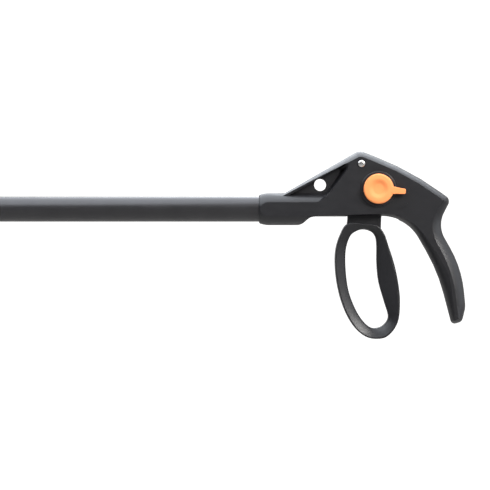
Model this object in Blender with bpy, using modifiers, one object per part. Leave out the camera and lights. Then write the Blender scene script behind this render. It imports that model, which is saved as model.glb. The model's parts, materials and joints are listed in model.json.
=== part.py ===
"""Reacher grabber: a trigger in a pistol handle pulls a rod through a tube and closes two jaws.

Metres, +Z up. The tube lies along X with the jaws towards -X and the handle towards +X.
Everything is drawn in the tool's own frame, held by the empty "tool_frame": X is 0 at the
collar's front edge, Z is 0 on the tube's axis and Y is 0 on the plane where the shells part.
The last step moves that empty so that the box around the whole tool is centred on the origin.
"""

import math

import bmesh
import bpy
from mathutils import Matrix, Vector

MM = 0.001

# Tube and pull rod
TUBE_OUTER = 12.5 * MM
TUBE_WALL = 1.25 * MM
TUBE_FRONT_X = -470 * MM
TUBE_IN_COLLAR = 34 * MM
TUBE_PEG_X = 18 * MM
TUBE_PEG_RADIUS = 2.5 * MM
ROD_RADIUS = 1.8 * MM
ROD_PASSAGE_RADIUS = 3.0 * MM
GUIDE_LENGTH = 10 * MM
GUIDE_GROOVE = 1.5 * MM
GUIDE_CHAMFER = 0.8 * MM

# Handle shells
HALF_WIDTH = 14.6 * MM
WALL = 2.3 * MM
COLLAR_WALL = 3.5 * MM
COLLAR_LIP = 1.7 * MM
COLLAR_LEAD = 10 * MM
WEB_HALF = 3.0 * MM
HANG_HOLE = (60.8 * MM, 24.0 * MM)
HANG_HOLE_RADIUS = 6.0 * MM
BRACE_NOSE_HALF = 9.0 * MM
BRACE_NOSE_X = 20 * MM
BRACE_FULL_X = 92 * MM
BULKHEAD_X = 79 * MM
BULKHEAD_THICK = 2.5 * MM
SHAFT_BOSS_WALL = 3.0 * MM

# Trigger
PIVOT = (101.5 * MM, 44.9 * MM)
PIVOT_PIN_RADIUS = 2.5 * MM
PIVOT_HEAD_RADIUS = 3.5 * MM
PIVOT_HEAD_HEIGHT = 1.9 * MM
PIVOT_CLIP_RADIUS = 4.8 * MM
PIVOT_CLIP_DEPTH = 2.4 * MM
TRIGGER_SWING = math.radians(15)
ARM_HALF = 6.5 * MM
ARM_BOSS_RADIUS = 6.2 * MM
LOOP_HALF_OUTER = 12.0 * MM
LOOP_HALF_INNER = 7.5 * MM
CROSS_PIN_RADIUS = 2.0 * MM
EYE_HALF = 3.3 * MM

# Trigger lock
LOCK = (118.3 * MM, 19.9 * MM)
KNOB_RADIUS = 14.85 * MM
KNOB_DISH_RADIUS = 10.0 * MM
KNOB_DISH_DEPTH = 1.3 * MM
KNOB_THICK = 5.0 * MM
TAB_REACH = 27.5 * MM
TAB_ROOT_HALF = 3.75 * MM
TAB_TIP_HALF = 3.0 * MM
TAB_REST = math.radians(-6)
KNOB_BOSS_RADIUS = 16.5 * MM
KNOB_BOSS_PROUD = 1.2 * MM
HUB_RADIUS = 6.0 * MM
CAM_RADIUS = 4.6 * MM
CAM_OFFSET = 2.0 * MM
CAM_REST_AWAY = math.radians(60)
STUB_RADIUS = 2.65 * MM
STUB_DEPTH = 2.0 * MM
JOURNAL_RADIUS = 4.0 * MM
JOURNAL_SHORT = 1.3 * MM
LOCK_SCREW_HEAD_RADIUS = 2.4 * MM
LOCK_SCREW_HEAD_THICK = 2.6 * MM
WASHER_RADIUS = 10.8 * MM

# Head and jaws
HEAD_REACH = 47 * MM
JAW_PIVOT_Z = 20 * MM
JAW_HALF = 5.8 * MM
JAW_PIN_RADIUS = 2.2 * MM
JAW_PIN_HEAD_RADIUS = 3.8 * MM
JAW_CLIP_RADIUS = 4.0 * MM
CHEEK_THICK = 4.0 * MM
CHEEK_ROUND = 7.4 * MM
HEAD_SHOULDER = 1.0 * MM
HEAD_RIVET_INSET = 15 * MM
HEAD_RIVET_RADIUS = 2.0 * MM
SPIGOT_LENGTH = 30 * MM
TONGUE_HALF = 3.0 * MM
ROD_IN_CROSSHEAD = 11.8 * MM
ARM_END_HALF = 5.0 * MM
CLOSED_GAP = 0.4 * MM
JAW_LENGTH = 97 * MM
PAD_HALF = 12.0 * MM
PAD_THICK = 3.7 * MM
PAD_LENGTH = 38 * MM
PAD_GROOVES = 7
PAD_GROOVE_RADIUS = 0.9 * MM

# Fasteners and spring
SCREW_RADIUS = 1.4 * MM
SCREW_HEAD_RADIUS = 2.8 * MM
SCREW_HEAD_THICK = 2.0 * MM
SCREW_SEAT_Y = 7.0 * MM
SCREW_SOCKET_RADIUS = 1.2 * MM
SCREW_SOCKET_DEPTH = 1.1 * MM
SCREW_TIP_Y = -9.0 * MM
PAD_RIVET_RADIUS = 1.6 * MM
PAD_RIVET_HEAD_RADIUS = 2.8 * MM
PAD_RIVET_INSET = 5.3 * MM
SPRING_RADIUS = 3.7 * MM
SPRING_WIRE = 0.55 * MM
SPRING_TURNS = 8
SPRING_START_X = 45.6 * MM
SPRING_COLLAR_THICK = 1.6 * MM
SPRING_WASHER_THICK = 0.6 * MM

# Clearances
GAP = 0.3 * MM
PARTING = 0.15 * MM
RUNNING = 0.25 * MM
RECESS = 0.4 * MM

# Values that follow from the sizes above
PIVOT_DROP = PIVOT[1]
PIN_THROW = PIVOT_DROP * math.tan(TRIGGER_SWING / 2)
PIN_REST_X = PIVOT[0] - PIN_THROW
JAW_SWING = 2 * math.atan(PIN_THROW / JAW_PIVOT_Z)
TUBE_INNER = TUBE_OUTER - TUBE_WALL
COLLAR_RADIUS = TUBE_OUTER + COLLAR_WALL
BARREL_END_X = BULKHEAD_X - 1 * MM
KNOB_BACK = HALF_WIDTH + KNOB_BOSS_PROUD + GAP
JOURNAL_SEAT = HALF_WIDTH - WALL - JOURNAL_SHORT
LOCK_REACH = math.dist(PIVOT, LOCK)
LOCK_ANGLE = math.atan2(LOCK[1] - PIVOT[1], LOCK[0] - PIVOT[0])
CAM_LOCKED_REACH = CAM_RADIUS + CAM_OFFSET * math.cos(CAM_REST_AWAY / 2)
SHOULDER_RADIUS = LOCK_REACH + CAM_LOCKED_REACH + PARTING
SPRING_END_X = BULKHEAD_X - 2 * GAP - SPRING_WASHER_THICK - SPRING_WIRE
SPRING_OUTER = SPRING_RADIUS + SPRING_WIRE
JAW_PIVOT_X = TUBE_FRONT_X - HEAD_REACH
CROSSHEAD_REST_X = JAW_PIVOT_X - PIN_THROW
JAW_SEAT = JAW_PIVOT_Z - CLOSED_GAP / 2 - PAD_THICK - GAP
PAD_FRONT = -JAW_LENGTH + 1 * MM
PAD_BACK = PAD_FRONT + PAD_LENGTH
PAD_RIVET_SEAT = JAW_SEAT - PAD_RIVET_INSET
CHEEK_OUTER = JAW_HALF + GAP + CHEEK_THICK
HEAD_RIVET_X = TUBE_FRONT_X + HEAD_RIVET_INSET

# The body's underside, in millimetres
UNDERSIDE = -7.4

# Outline corners in millimetres: (x, z, corner radius, how far the crown draws in at the side)
BODY_CORNERS = (
    (58, UNDERSIDE, 0, 1.2),
    (146.35, UNDERSIDE, 42, 3.5),
    (176.9, -61.7, 175, 9.0),
    (191.0, -114.9, 3, 3.0),
    (200.8, -111.9, 4.5, 4.0),
    (204.4, -97.5, 25, 7.4),
    (200.8, -58.9, 110, 9.2),
    (176.8, -16.2, 26.5, 9.0),
    (189.85, 9.2, 6, 5.5),
    (150.3, 38.1, 290, 5.5),
    (99.9, 57.9, 11, 5.5),
    (18, 11.5, 0, 3.8),
    (18, 0, 0, 0.5),
    (58, 0, 0, 0.5),
)
POCKET_CORNERS = ((24, 10.3, 0), (88.6, 46.9, 3), (66.3, 12, 0))
POCKET_SPREAD = 7.5 * MM
POCKET_SLOPE_X = 60 * MM
GRIP_SOLID_CORNERS = ((150, -103, 0), (230, -103, 0), (230, -140, 0), (150, -140, 0))
OPENING_CORNERS = ((86.8, -20, 0), (139, -20, 0), (139, -2, 0), (86.8, -2, 0))
SCREW_PLACES = ((88.5, 34.5), (141, 33), (168, 6), (178.6, -42.3), (193.0, -86.5))
SCREW_BOSS_NEAR = 3.4 * MM
SCREW_BOSS_FAR = 4.4 * MM

# Trigger: (outer x, outer z, inner x, inner z) around the finger loop, in millimetres
LOOP_STATIONS = (
    (104.0, -14.9, 104.0, -20.3),
    (121.3, -19.2, 112.4, -24.2),
    (128.2, -36.0, 115.6, -36.0),
    (133.8, -53.5, 116.1, -53.5),
    (137.8, -72.0, 118.8, -72.0),
    (139.8, -92.0, 124.4, -92.0),
    (137.5, -112.5, 128.4, -107.0),
    (127.6, -126.0, 123.2, -115.6),
    (115.5, -128.8, 114.8, -118.4),
    (104.0, -125.6, 108.0, -115.8),
    (93.5, -115.6, 100.5, -107.5),
    (84.9, -100.0, 93.8, -95.0),
    (78.9, -81.0, 88.6, -79.5),
    (75.8, -60.0, 86.1, -60.0),
    (76.1, -41.0, 86.9, -41.0),
    (80.5, -26.0, 91.5, -27.3),
    (88.0, -14.6, 97.2, -21.6),
)
ARM_FRONT_CORNERS = ((93, 10.5, 4), (86.3, 4, 8), (88.4, -8, 20), (90, -18, 0))
ARM_BACK_CORNERS = ((121, -21, 0), (121.5, -7.4, 20), (126.3, 13, 6))
ARM_GROOVE_CORNERS = ((105, -6.4, 2), (105, 6.6, 2), (97, 8.5, 0), (78, 17, 0), (78, -6.4, 0))

CROWN_STEPS = (0.4, 0.72, 0.9, 1.0)
ARC_STEP = math.radians(15)

TOOL_COLLECTION = "reacher_grabber"
CUTTER_COLLECTION = "cutters"


# ---------------------------------------------------------------- scene and objects


def clear_scene():
    for item in list(bpy.data.objects):
        bpy.data.objects.remove(item, do_unlink=True)
    for name in (TOOL_COLLECTION, CUTTER_COLLECTION):
        bpy.context.scene.collection.children.link(bpy.data.collections.new(name))


def make_material(name, colour, roughness, metallic=0.0):
    material = bpy.data.materials.new(name)
    material.use_nodes = True
    shader = material.node_tree.nodes["Principled BSDF"]
    shader.inputs["Base Color"].default_value = (*colour, 1.0)
    shader.inputs["Roughness"].default_value = roughness
    shader.inputs["Metallic"].default_value = metallic
    return material


def make_empty(name, x, z, parent=None, turn=0.0):
    """An empty on an axis along Y. A positive turn lowers what lies towards +X."""
    empty = bpy.data.objects.new(name, None)
    empty.location = (x, 0, z)
    empty.rotation_euler = (0, turn, 0)
    empty.empty_display_size = 10 * MM
    empty.parent = parent
    bpy.data.collections[TOOL_COLLECTION].objects.link(empty)
    return empty


def frame_of(empty):
    """The empty's place in the tool's own frame."""
    own = Matrix.LocRotScale(empty.location, empty.rotation_euler, None)
    return own if empty.parent is None else frame_of(empty.parent) @ own


def place(item, parent, local):
    """Parents the object. Its shape is drawn in the tool's frame unless it is local to the parent."""
    item.parent = parent
    if not local:
        item.matrix_parent_inverse = frame_of(parent).inverted()


def object_from(name, bm, parent, collection, local):
    bmesh.ops.recalc_face_normals(bm, faces=bm.faces)
    mesh = bpy.data.meshes.new(name)
    bm.to_mesh(mesh)
    bm.free()
    mesh.shade_smooth()
    mesh.set_sharp_from_angle(angle=math.radians(30))
    item = bpy.data.objects.new(name, mesh)
    bpy.data.collections[collection].objects.link(item)
    place(item, parent, local)
    return item


def add_part(name, bm, material, parent, local=False):
    item = object_from(name, bm, parent, TOOL_COLLECTION, local)
    item.data.materials.append(material)
    return item


def add_helper(name, bm, parent, local=False):
    item = object_from(name, bm, parent, CUTTER_COLLECTION, local)
    item.hide_render = True
    item.display_type = "WIRE"
    return item


def combine(item, other, operation="DIFFERENCE"):
    boolean = item.modifiers.new(f"{operation.lower()}_{other.name}", "BOOLEAN")
    boolean.operation = operation
    boolean.solver = "EXACT"
    boolean.object = other


def add_turned(name, profile, start, direction, parent, material=None, steps=20, ring=False, local=False):
    """Turns (radius, height) points, listed from the top down the outer side, about a line.

    The line leaves start along direction. A ring's profile closes on itself; another one
    begins and ends on the line. With no material the shape is a helper.
    """
    mesh = bpy.data.meshes.new(name)
    points = [(radius, 0, height) for radius, height in profile]
    edges = [(index, index + 1) for index in range(len(points) - 1)]
    if ring:
        edges.append((len(points) - 1, 0))
    mesh.from_pydata(points, edges, [])
    item = bpy.data.objects.new(name, mesh)
    item.matrix_local = line_frame(start, direction)
    collection = TOOL_COLLECTION if material else CUTTER_COLLECTION
    bpy.data.collections[collection].objects.link(item)
    place(item, parent, local)
    screw = item.modifiers.new("turn", "SCREW")
    screw.axis = "Z"
    screw.steps = steps
    screw.render_steps = steps
    screw.use_merge_vertices = True
    screw.merge_threshold = 0.00001
    if material:
        mesh.materials.append(material)
    else:
        item.hide_render = True
        item.display_type = "WIRE"
    return item


# ---------------------------------------------------------------- outlines and solids


def line_frame(start, direction):
    """A frame whose Z runs along the direction."""
    turn = Vector(direction).to_track_quat("Z", "Y")
    return Matrix.LocRotScale(Vector(start), turn, None)


def on_arc(centre, radius, angle):
    return Vector((centre[0] + radius * math.cos(angle), centre[1] + radius * math.sin(angle)))


def corner_arc(here, before, after, radius):
    """The points of a tangent arc in place of a sharp corner."""
    to_before = (before - here).normalized()
    to_after = (after - here).normalized()
    turn = math.pi - to_before.angle(to_after)
    if radius <= 0 or turn < 1e-3:
        return [here.copy()]
    start = here + to_before * radius * math.tan(turn / 2)
    centre = here + (to_before + to_after).normalized() * radius / math.cos(turn / 2)
    spoke = start - centre
    way = 1 if to_before.cross(to_after) < 0 else -1
    pieces = max(2, round(turn / ARC_STEP))
    turned = [Matrix.Rotation(way * turn * step / pieces, 2) @ spoke for step in range(pieces + 1)]
    return [centre + point for point in turned]


def rounded(corners, unit=MM):
    """A closed outline with its corners rounded, and the outline index at each corner's middle."""
    sharp = [Vector(corner[:2]) for corner in corners]
    outline = []
    middles = []
    for index, corner in enumerate(corners):
        arc = corner_arc(sharp[index], sharp[index - 1], sharp[(index + 1) % len(sharp)], corner[2])
        middles.append(len(outline) + len(arc) // 2)
        outline += [point * unit for point in arc]
    return outline, middles


def area_of(outline):
    pairs = zip(outline, outline[1:] + outline[:1])
    return sum(a.cross(b) for a, b in pairs) / 2


def inward(outline):
    """For each point, the step that draws both of its edges in by one unit."""
    way = math.copysign(1, area_of(outline))
    steps = []
    for index, point in enumerate(outline):
        before = (point - outline[index - 1]).normalized()
        after = (outline[(index + 1) % len(outline)] - point).normalized()
        side = (before + after).normalized()
        normal = Vector((-side.y, side.x)) * way
        steps.append(normal / max(0.3, side.dot(after)))
    return steps


def spread_amounts(outline, middles, amounts):
    """One amount for each outline point, changing evenly along the outline between corners."""
    count = len(outline)
    spread = [0.0] * count
    for index, start in enumerate(middles):
        stop = middles[(index + 1) % len(middles)]
        stations = [start]
        while stations[-1] != stop:
            stations.append((stations[-1] + 1) % count)
        steps = [(outline[b] - outline[a]).length for a, b in zip(stations, stations[1:])]
        first, last = amounts[index], amounts[(index + 1) % len(amounts)]
        run = 0.0
        for station, step in zip(stations, steps):
            spread[station] = first + (last - first) * run / sum(steps)
            run += step
    return spread


def crown_share(height, depth, sagitta):
    """How far a circular crown has drawn in at this height above the parting plane."""
    if sagitta <= 0:
        return 0.0
    radius = (depth**2 + sagitta**2) / (2 * sagitta)
    return radius - math.sqrt(max(0.0, radius**2 - height**2))


def crowned_solid(corners, side, depth):
    """Half of a body between the parting plane and one flat side, with a crowned edge."""
    outline, middles = rounded(corners)
    sagittas = spread_amounts(outline, middles, [corner[3] * MM for corner in corners])
    steps = inward(outline)
    bm = bmesh.new()
    station = bm.verts.layers.int.new("station")
    ring = [bm.verts.new((point.x, side * PARTING, point.y)) for point in outline]
    for index, vert in enumerate(ring):
        vert[station] = index
    cap = bm.faces.new(ring)
    for share in CROWN_STEPS:
        height = PARTING + share * (depth - PARTING)
        below = cap
        made = bmesh.ops.extrude_face_region(bm, geom=[below])["geom"]
        cap = next(item for item in made if isinstance(item, bmesh.types.BMFace))
        if share != CROWN_STEPS[0]:
            bm.faces.remove(below)
        for vert in cap.verts:
            index = vert[station]
            drawn = outline[index] + steps[index] * crown_share(height, depth, sagittas[index])
            vert.co = (drawn.x, side * height, drawn.y)
    return bm


def prism(corners, low, high, unit=MM):
    """A rounded outline in XZ given a thickness along Y."""
    outline, _ = rounded(corners, unit)
    bm = bmesh.new()
    face = bm.faces.new([bm.verts.new((point.x, low, point.y)) for point in outline])
    made = bmesh.ops.extrude_face_region(bm, geom=[face])["geom"]
    moved = [item for item in made if isinstance(item, bmesh.types.BMVert)]
    bmesh.ops.translate(bm, verts=moved, vec=(0, high - low, 0))
    return bm


def box(low, high):
    bm = bmesh.new()
    size = Vector(high) - Vector(low)
    centre = (Vector(high) + Vector(low)) / 2
    bmesh.ops.create_cube(bm, size=1, matrix=Matrix.LocRotScale(centre, None, size))
    return bm


def add_bar(bm, start, end, radius, segments=20):
    """Adds a round bar between two points."""
    run = Vector(end) - Vector(start)
    middle = (Vector(end) + Vector(start)) / 2
    bmesh.ops.create_cone(
        bm,
        cap_ends=True,
        segments=segments,
        radius1=radius,
        radius2=radius,
        depth=run.length,
        matrix=line_frame(middle, run),
    )
    return bm


def bar(start, end, radius, segments=20):
    return add_bar(bmesh.new(), start, end, radius, segments)


def across(place_xz, low, high, radius, segments=16):
    """A round bar along Y."""
    x, z = place_xz
    return bar((x, low, z), (x, high, z), radius, segments)


def capsule(low, high, start, end, radius):
    """A slot's shape: a round-ended outline between two XZ points, with a thickness along Y."""
    run = (Vector(end) - Vector(start)).normalized() * radius
    side = Vector((-run.y, run.x))
    corners = [
        (*(Vector(start) - run - side), radius * 0.98),
        (*(Vector(end) + run - side), radius * 0.98),
        (*(Vector(end) + run + side), radius * 0.98),
        (*(Vector(start) - run + side), radius * 0.98),
    ]
    return prism(corners, low, high, 1.0)


# ---------------------------------------------------------------- handle shells


def body_blank(side):
    """The shell's crowned outside: body, grip and the brace, which narrows towards its nose."""
    bm = crowned_solid(BODY_CORNERS, side, HALF_WIDTH)
    everything = bm.verts[:] + bm.edges[:] + bm.faces[:]
    bmesh.ops.bisect_plane(bm, geom=everything, plane_co=(BRACE_FULL_X, 0, 0), plane_no=(1, 0, 0))
    nose_share = BRACE_NOSE_HALF / HALF_WIDTH
    for vert in bm.verts:
        if vert.co.x < BRACE_FULL_X and vert.co.z > 0:
            along = (vert.co.x - BRACE_NOSE_X) / (BRACE_FULL_X - BRACE_NOSE_X)
            vert.co.y *= nose_share + (1 - nose_share) * max(0.0, along)
    return bm


def half_space(name, side, tool):
    """A block over everything on the far side of the parting plane from this shell."""
    low = min(side * PARTING, -side * 40 * MM)
    high = max(side * PARTING, -side * 40 * MM)
    return add_helper(name, box((-30 * MM, low, -150 * MM), (240 * MM, high, 90 * MM)), tool)


def add_pocket(name, side, tool):
    """The recess beside the web. Its rear wall slopes out to the body's side face."""
    low = WEB_HALF
    high = HALF_WIDTH + COLLAR_WALL
    bm = prism(POCKET_CORNERS, side * low, side * high)
    slope = POCKET_SPREAD * (high - low) / (HALF_WIDTH - low)
    for vert in bm.verts:
        if abs(vert.co.y) > HALF_WIDTH and vert.co.x > POCKET_SLOPE_X:
            vert.co.x += slope
    return add_helper(name, bm, tool)


def add_barrel(name, side, tool):
    """Collar and barrel: round, with a tapered lead-in at the front and flats at the sides."""
    profile = (
        (0, 0),
        (TUBE_OUTER + COLLAR_LIP, 0),
        (COLLAR_RADIUS, -COLLAR_LEAD),
        (COLLAR_RADIUS, -BARREL_END_X),
        (0, -BARREL_END_X),
    )
    barrel = add_turned(f"{name}_barrel", profile, (0, 0, 0), (-1, 0, 0), tool, steps=48)
    combine(barrel, half_space(f"{name}_parting", side, tool))
    flat_low = min(side * HALF_WIDTH, side * 30 * MM)
    flat_high = max(side * HALF_WIDTH, side * 30 * MM)
    flat = box((-5 * MM, flat_low, -30 * MM), (BARREL_END_X + 5 * MM, flat_high, 30 * MM))
    combine(barrel, add_helper(f"{name}_flat", flat, tool))
    undercut = prism(undercut_corners(), -30 * MM, 30 * MM)
    combine(barrel, add_helper(f"{name}_undercut", undercut, tool))
    return barrel


def undercut_corners():
    """Below the barrel: from the collar's full radius in a curve up to the body's underside."""
    collar = -COLLAR_RADIUS / MM - 0.1
    return (
        (36, -30, 0),
        (36, collar, 0),
        (41.5, collar, 7),
        (51.5, UNDERSIDE, 7),
        (95, UNDERSIDE, 0),
        (95, -30, 0),
    )


def cavity_front_corners():
    """What stays solid ahead of the cavity: the bulkhead at the barrel's end and the brace."""
    back = (BULKHEAD_X + BULKHEAD_THICK) / MM
    apex = PIVOT[0] / MM - 1.5
    return ((0, -40, 0), (back, -40, 0), (back, 22, 0), (apex, 58, 0), (apex, 90, 0), (0, 90, 0))


def cavity_corners():
    """The body's outline drawn in by the wall, with its crown and corners to match."""
    sharp = [Vector(corner[:2]) for corner in BODY_CORNERS]
    steps = inward(sharp)
    wall = WALL / MM
    way = math.copysign(1, area_of(sharp))
    corners = []
    for index, (_, _, radius, sagitta) in enumerate(BODY_CORNERS):
        before = sharp[index] - sharp[index - 1]
        after = sharp[(index + 1) % len(sharp)] - sharp[index]
        convex = before.cross(after) * way > 0
        inner = radius - wall if convex else radius + wall
        drawn = sharp[index] + steps[index] * wall
        sagitta_inner = sagitta * (HALF_WIDTH - WALL) / HALF_WIDTH
        corners.append((drawn.x, drawn.y, inner if inner > sagitta_inner else 0, sagitta_inner))
    return corners


def boss_sizes(side):
    """(place, radius, start) of each boss inside a shell, start being its inner face's |y|."""
    near = side < 0
    screw_boss = SCREW_BOSS_NEAR if near else SCREW_BOSS_FAR
    bosses = [((x * MM, z * MM), screw_boss, -1 * MM) for x, z in SCREW_PLACES]
    bosses.append((PIVOT, ARM_BOSS_RADIUS, ARM_HALF + GAP))
    bosses.append((LOCK, HUB_RADIUS + SHAFT_BOSS_WALL, ARM_HALF + 2 * GAP))
    return bosses


def add_cavity(name, side, tool):
    cavity = add_helper(f"{name}_cavity", crowned_solid(cavity_corners(), side, HALF_WIDTH - WALL), tool)
    for label, corners in (("front", cavity_front_corners()), ("tip", GRIP_SOLID_CORNERS)):
        limit = prism(corners, -30 * MM, 30 * MM)
        combine(cavity, add_helper(f"{name}_cavity_{label}", limit, tool))
    for index, (where, radius, start) in enumerate(boss_sizes(side)):
        bm = across(where, side * start, side * 25 * MM, radius, 24)
        combine(cavity, add_helper(f"{name}_boss_{index + 1}", bm, tool))
    return cavity


def add_bores(name, side, tool):
    """The seat for the tube, the barrel's hollow behind it and the rod's way through."""
    bores = []
    seat = bar((-5 * MM, 0, 0), (TUBE_IN_COLLAR + GAP, 0, 0), TUBE_OUTER + GAP, 40)
    bores.append(add_helper(f"{name}_tube_seat", seat, tool))
    hollow = bar((TUBE_IN_COLLAR, 0, 0), (BULKHEAD_X, 0, 0), TUBE_INNER + GAP, 32)
    geometry = hollow.verts[:] + hollow.edges[:] + hollow.faces[:]
    cut = bmesh.ops.bisect_plane(
        hollow, geom=geometry, plane_co=(0, 0, UNDERSIDE * MM + WALL), plane_no=(0, 0, -1), clear_outer=True
    )
    rim = [item for item in cut["geom_cut"] if isinstance(item, bmesh.types.BMEdge)]
    bmesh.ops.contextual_create(hollow, geom=rim)
    bores.append(add_helper(f"{name}_barrel_hollow", hollow, tool))
    rod_way = bar((BULKHEAD_X - 5 * MM, 0, 0), (BULKHEAD_X + 8 * MM, 0, 0), ROD_PASSAGE_RADIUS, 24)
    bores.append(add_helper(f"{name}_rod_way", rod_way, tool))
    return bores


def add_handle_shell(name, side, tool, material):
    """One half of the handle: side is -1 for the left half and 1 for the right half."""
    shell = add_part(name, body_blank(side), material, tool)
    combine(shell, add_pocket(f"{name}_pocket", side, tool))
    combine(shell, add_barrel(name, side, tool), "UNION")
    if side < 0:
        boss = across(LOCK, -HALF_WIDTH + 1 * MM, -HALF_WIDTH - KNOB_BOSS_PROUD, KNOB_BOSS_RADIUS, 48)
        combine(shell, add_helper(f"{name}_knob_boss", boss, tool), "UNION")
    combine(shell, add_cavity(name, side, tool))
    for bore in add_bores(name, side, tool):
        combine(shell, bore)
    opening = prism(OPENING_CORNERS, -ARM_HALF - 2.5 * GAP, ARM_HALF + 2.5 * GAP)
    combine(shell, add_helper(f"{name}_arm_opening", opening, tool))
    through = 30 * MM
    pivot_hole = across(PIVOT, -through, through, PIVOT_PIN_RADIUS + RUNNING)
    combine(shell, add_helper(f"{name}_pivot_hole", pivot_hole, tool))
    hang_hole = across(HANG_HOLE, -through, through, HANG_HOLE_RADIUS, 32)
    combine(shell, add_helper(f"{name}_hang_hole", hang_hole, tool))
    add_shell_fittings(shell, name, side, tool)
    return shell


def add_shell_fittings(shell, name, side, tool):
    """Screw holes, the lock's bearings, the pin's clip recess and the peg that holds the tube."""
    for index, (x, z) in enumerate(SCREW_PLACES):
        where = (x * MM, z * MM)
        if side < 0:
            hole = across(where, SCREW_TIP_Y - 2 * GAP, 5 * MM, SCREW_RADIUS + RUNNING, 16)
            combine(shell, add_helper(f"{name}_screw_hole_{index + 1}", hole, tool))
            continue
        stepped = (
            (0, 25 * MM),
            (SCREW_HEAD_RADIUS + RUNNING, 25 * MM),
            (SCREW_HEAD_RADIUS + RUNNING, SCREW_SEAT_Y),
            (SCREW_RADIUS + RUNNING, SCREW_SEAT_Y),
            (SCREW_RADIUS + RUNNING, -5 * MM),
            (0, -5 * MM),
        )
        start = (where[0], 0, where[1])
        hole = add_turned(f"{name}_screw_hole_{index + 1}", stepped, start, (0, 1, 0), tool, steps=16)
        combine(shell, hole)
    if side < 0:
        hub_bore = across(LOCK, -30 * MM, -3 * MM, HUB_RADIUS + RUNNING, 32)
        combine(shell, add_helper(f"{name}_hub_bore", hub_bore, tool))
        washer_seat = across(LOCK, -HALF_WIDTH - GAP, -30 * MM, WASHER_RADIUS + RECESS, 32)
        combine(shell, add_helper(f"{name}_washer_seat", washer_seat, tool))
    else:
        bearing = across(LOCK, 3 * MM, JOURNAL_SEAT, JOURNAL_RADIUS + RUNNING, 24)
        combine(shell, add_helper(f"{name}_cam_bearing", bearing, tool))
        recess = across(PIVOT, HALF_WIDTH - PIVOT_CLIP_DEPTH, 30 * MM, PIVOT_CLIP_RADIUS + RECESS, 24)
        combine(shell, add_helper(f"{name}_clip_recess", recess, tool))
    peg = across((TUBE_PEG_X, 0), side * (TUBE_INNER + GAP), side * (COLLAR_RADIUS - 2 * MM), TUBE_PEG_RADIUS)
    combine(shell, add_helper(f"{name}_tube_peg", peg, tool), "UNION")


def add_shell_screws(tool, material):
    head_top = SCREW_SEAT_Y + GAP + SCREW_HEAD_THICK
    profile = (
        (0, head_top - SCREW_SOCKET_DEPTH),
        (SCREW_SOCKET_RADIUS, head_top - SCREW_SOCKET_DEPTH),
        (SCREW_SOCKET_RADIUS, head_top),
        (SCREW_HEAD_RADIUS - 0.6 * MM, head_top),
        (SCREW_HEAD_RADIUS, head_top - 0.6 * MM),
        (SCREW_HEAD_RADIUS, SCREW_SEAT_Y + GAP),
        (SCREW_RADIUS, SCREW_SEAT_Y + GAP),
        (SCREW_RADIUS, SCREW_TIP_Y + 1.2 * MM),
        (0, SCREW_TIP_Y),
    )
    for index, (x, z) in enumerate(SCREW_PLACES):
        start = (x * MM, 0, z * MM)
        add_turned(f"shell_screw_{index + 1}", profile, start, (0, 1, 0), tool, material, 12)


# ---------------------------------------------------------------- trigger and its pivot


def closed_curve(points, steps):
    """Points along a smooth closed curve through the given points."""
    count = len(points)
    made = []
    for index in range(count):
        p0, p1, p2, p3 = (points[(index + offset) % count] for offset in (-1, 0, 1, 2))
        for step in range(steps):
            t = step / steps
            made.append(
                0.5
                * (
                    2 * p1
                    + (p2 - p0) * t
                    + (2 * p0 - 5 * p1 + 4 * p2 - p3) * t**2
                    + (3 * p1 - p0 - 3 * p2 + p3) * t**3
                )
            )
    return made


def finger_loop():
    """The ring of the trigger: widest at its outer edge, with side faces that slope inwards."""
    outer = closed_curve([Vector((x, z)) * MM for x, z, _, _ in LOOP_STATIONS], 2)
    inner = closed_curve([Vector((x, z)) * MM for _, _, x, z in LOOP_STATIONS], 2)
    rings = (
        (outer, 0.0, LOOP_HALF_OUTER),
        (outer, 0.12, LOOP_HALF_OUTER + 0.4 * MM),
        (outer, 0.85, LOOP_HALF_INNER + 0.6 * MM),
        (inner, 0.0, LOOP_HALF_INNER - 1.5 * MM),
    )
    sections = []
    for curve, share, half in rings:
        points = [a.lerp(b, share) for a, b in zip(curve, inner)] if curve is outer else curve
        sections.append((points, half))
    around = sections + [(points, -half) for points, half in reversed(sections)]
    bm = bmesh.new()
    station = bm.verts.layers.int.new("station")
    points, half = around[0]
    ring = [bm.verts.new((point.x, half, point.y)) for point in points]
    for index, vert in enumerate(ring):
        vert[station] = index
    first = [bm.edges.new((vert, ring[(index + 1) % len(ring)])) for index, vert in enumerate(ring)]
    edges = first
    for points, half in around[1:]:
        made = bmesh.ops.extrude_edge_only(bm, edges=edges)["geom"]
        edges = [item for item in made if isinstance(item, bmesh.types.BMEdge)]
        for vert in (item for item in made if isinstance(item, bmesh.types.BMVert)):
            point = points[vert[station]]
            vert.co = (point.x, half, point.y)
    bmesh.ops.bridge_loops(bm, edges=first + edges)
    return bm


def arm_outline():
    """Boss, neck, the shoulder that the lock's cam presses on, and the arm down to the loop."""
    neck_back = math.radians(-86)
    neck_front = math.radians(-113)
    shoulder_end = math.radians(-46)
    points = []
    for step in range(9):
        angle = neck_front - step / 8 * (2 * math.pi + neck_front - neck_back)
        points.append((*on_arc(PIVOT, ARM_BOSS_RADIUS, angle), 0))
    for step in range(6):
        angle = neck_back + step / 5 * (shoulder_end - neck_back)
        points.append((*on_arc(PIVOT, SHOULDER_RADIUS, angle), 0))
    points += [(x * MM, z * MM, radius * MM) for x, z, radius in reversed(ARM_BACK_CORNERS)]
    points += [(x * MM, z * MM, radius * MM) for x, z, radius in reversed(ARM_FRONT_CORNERS)]
    return points


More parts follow.
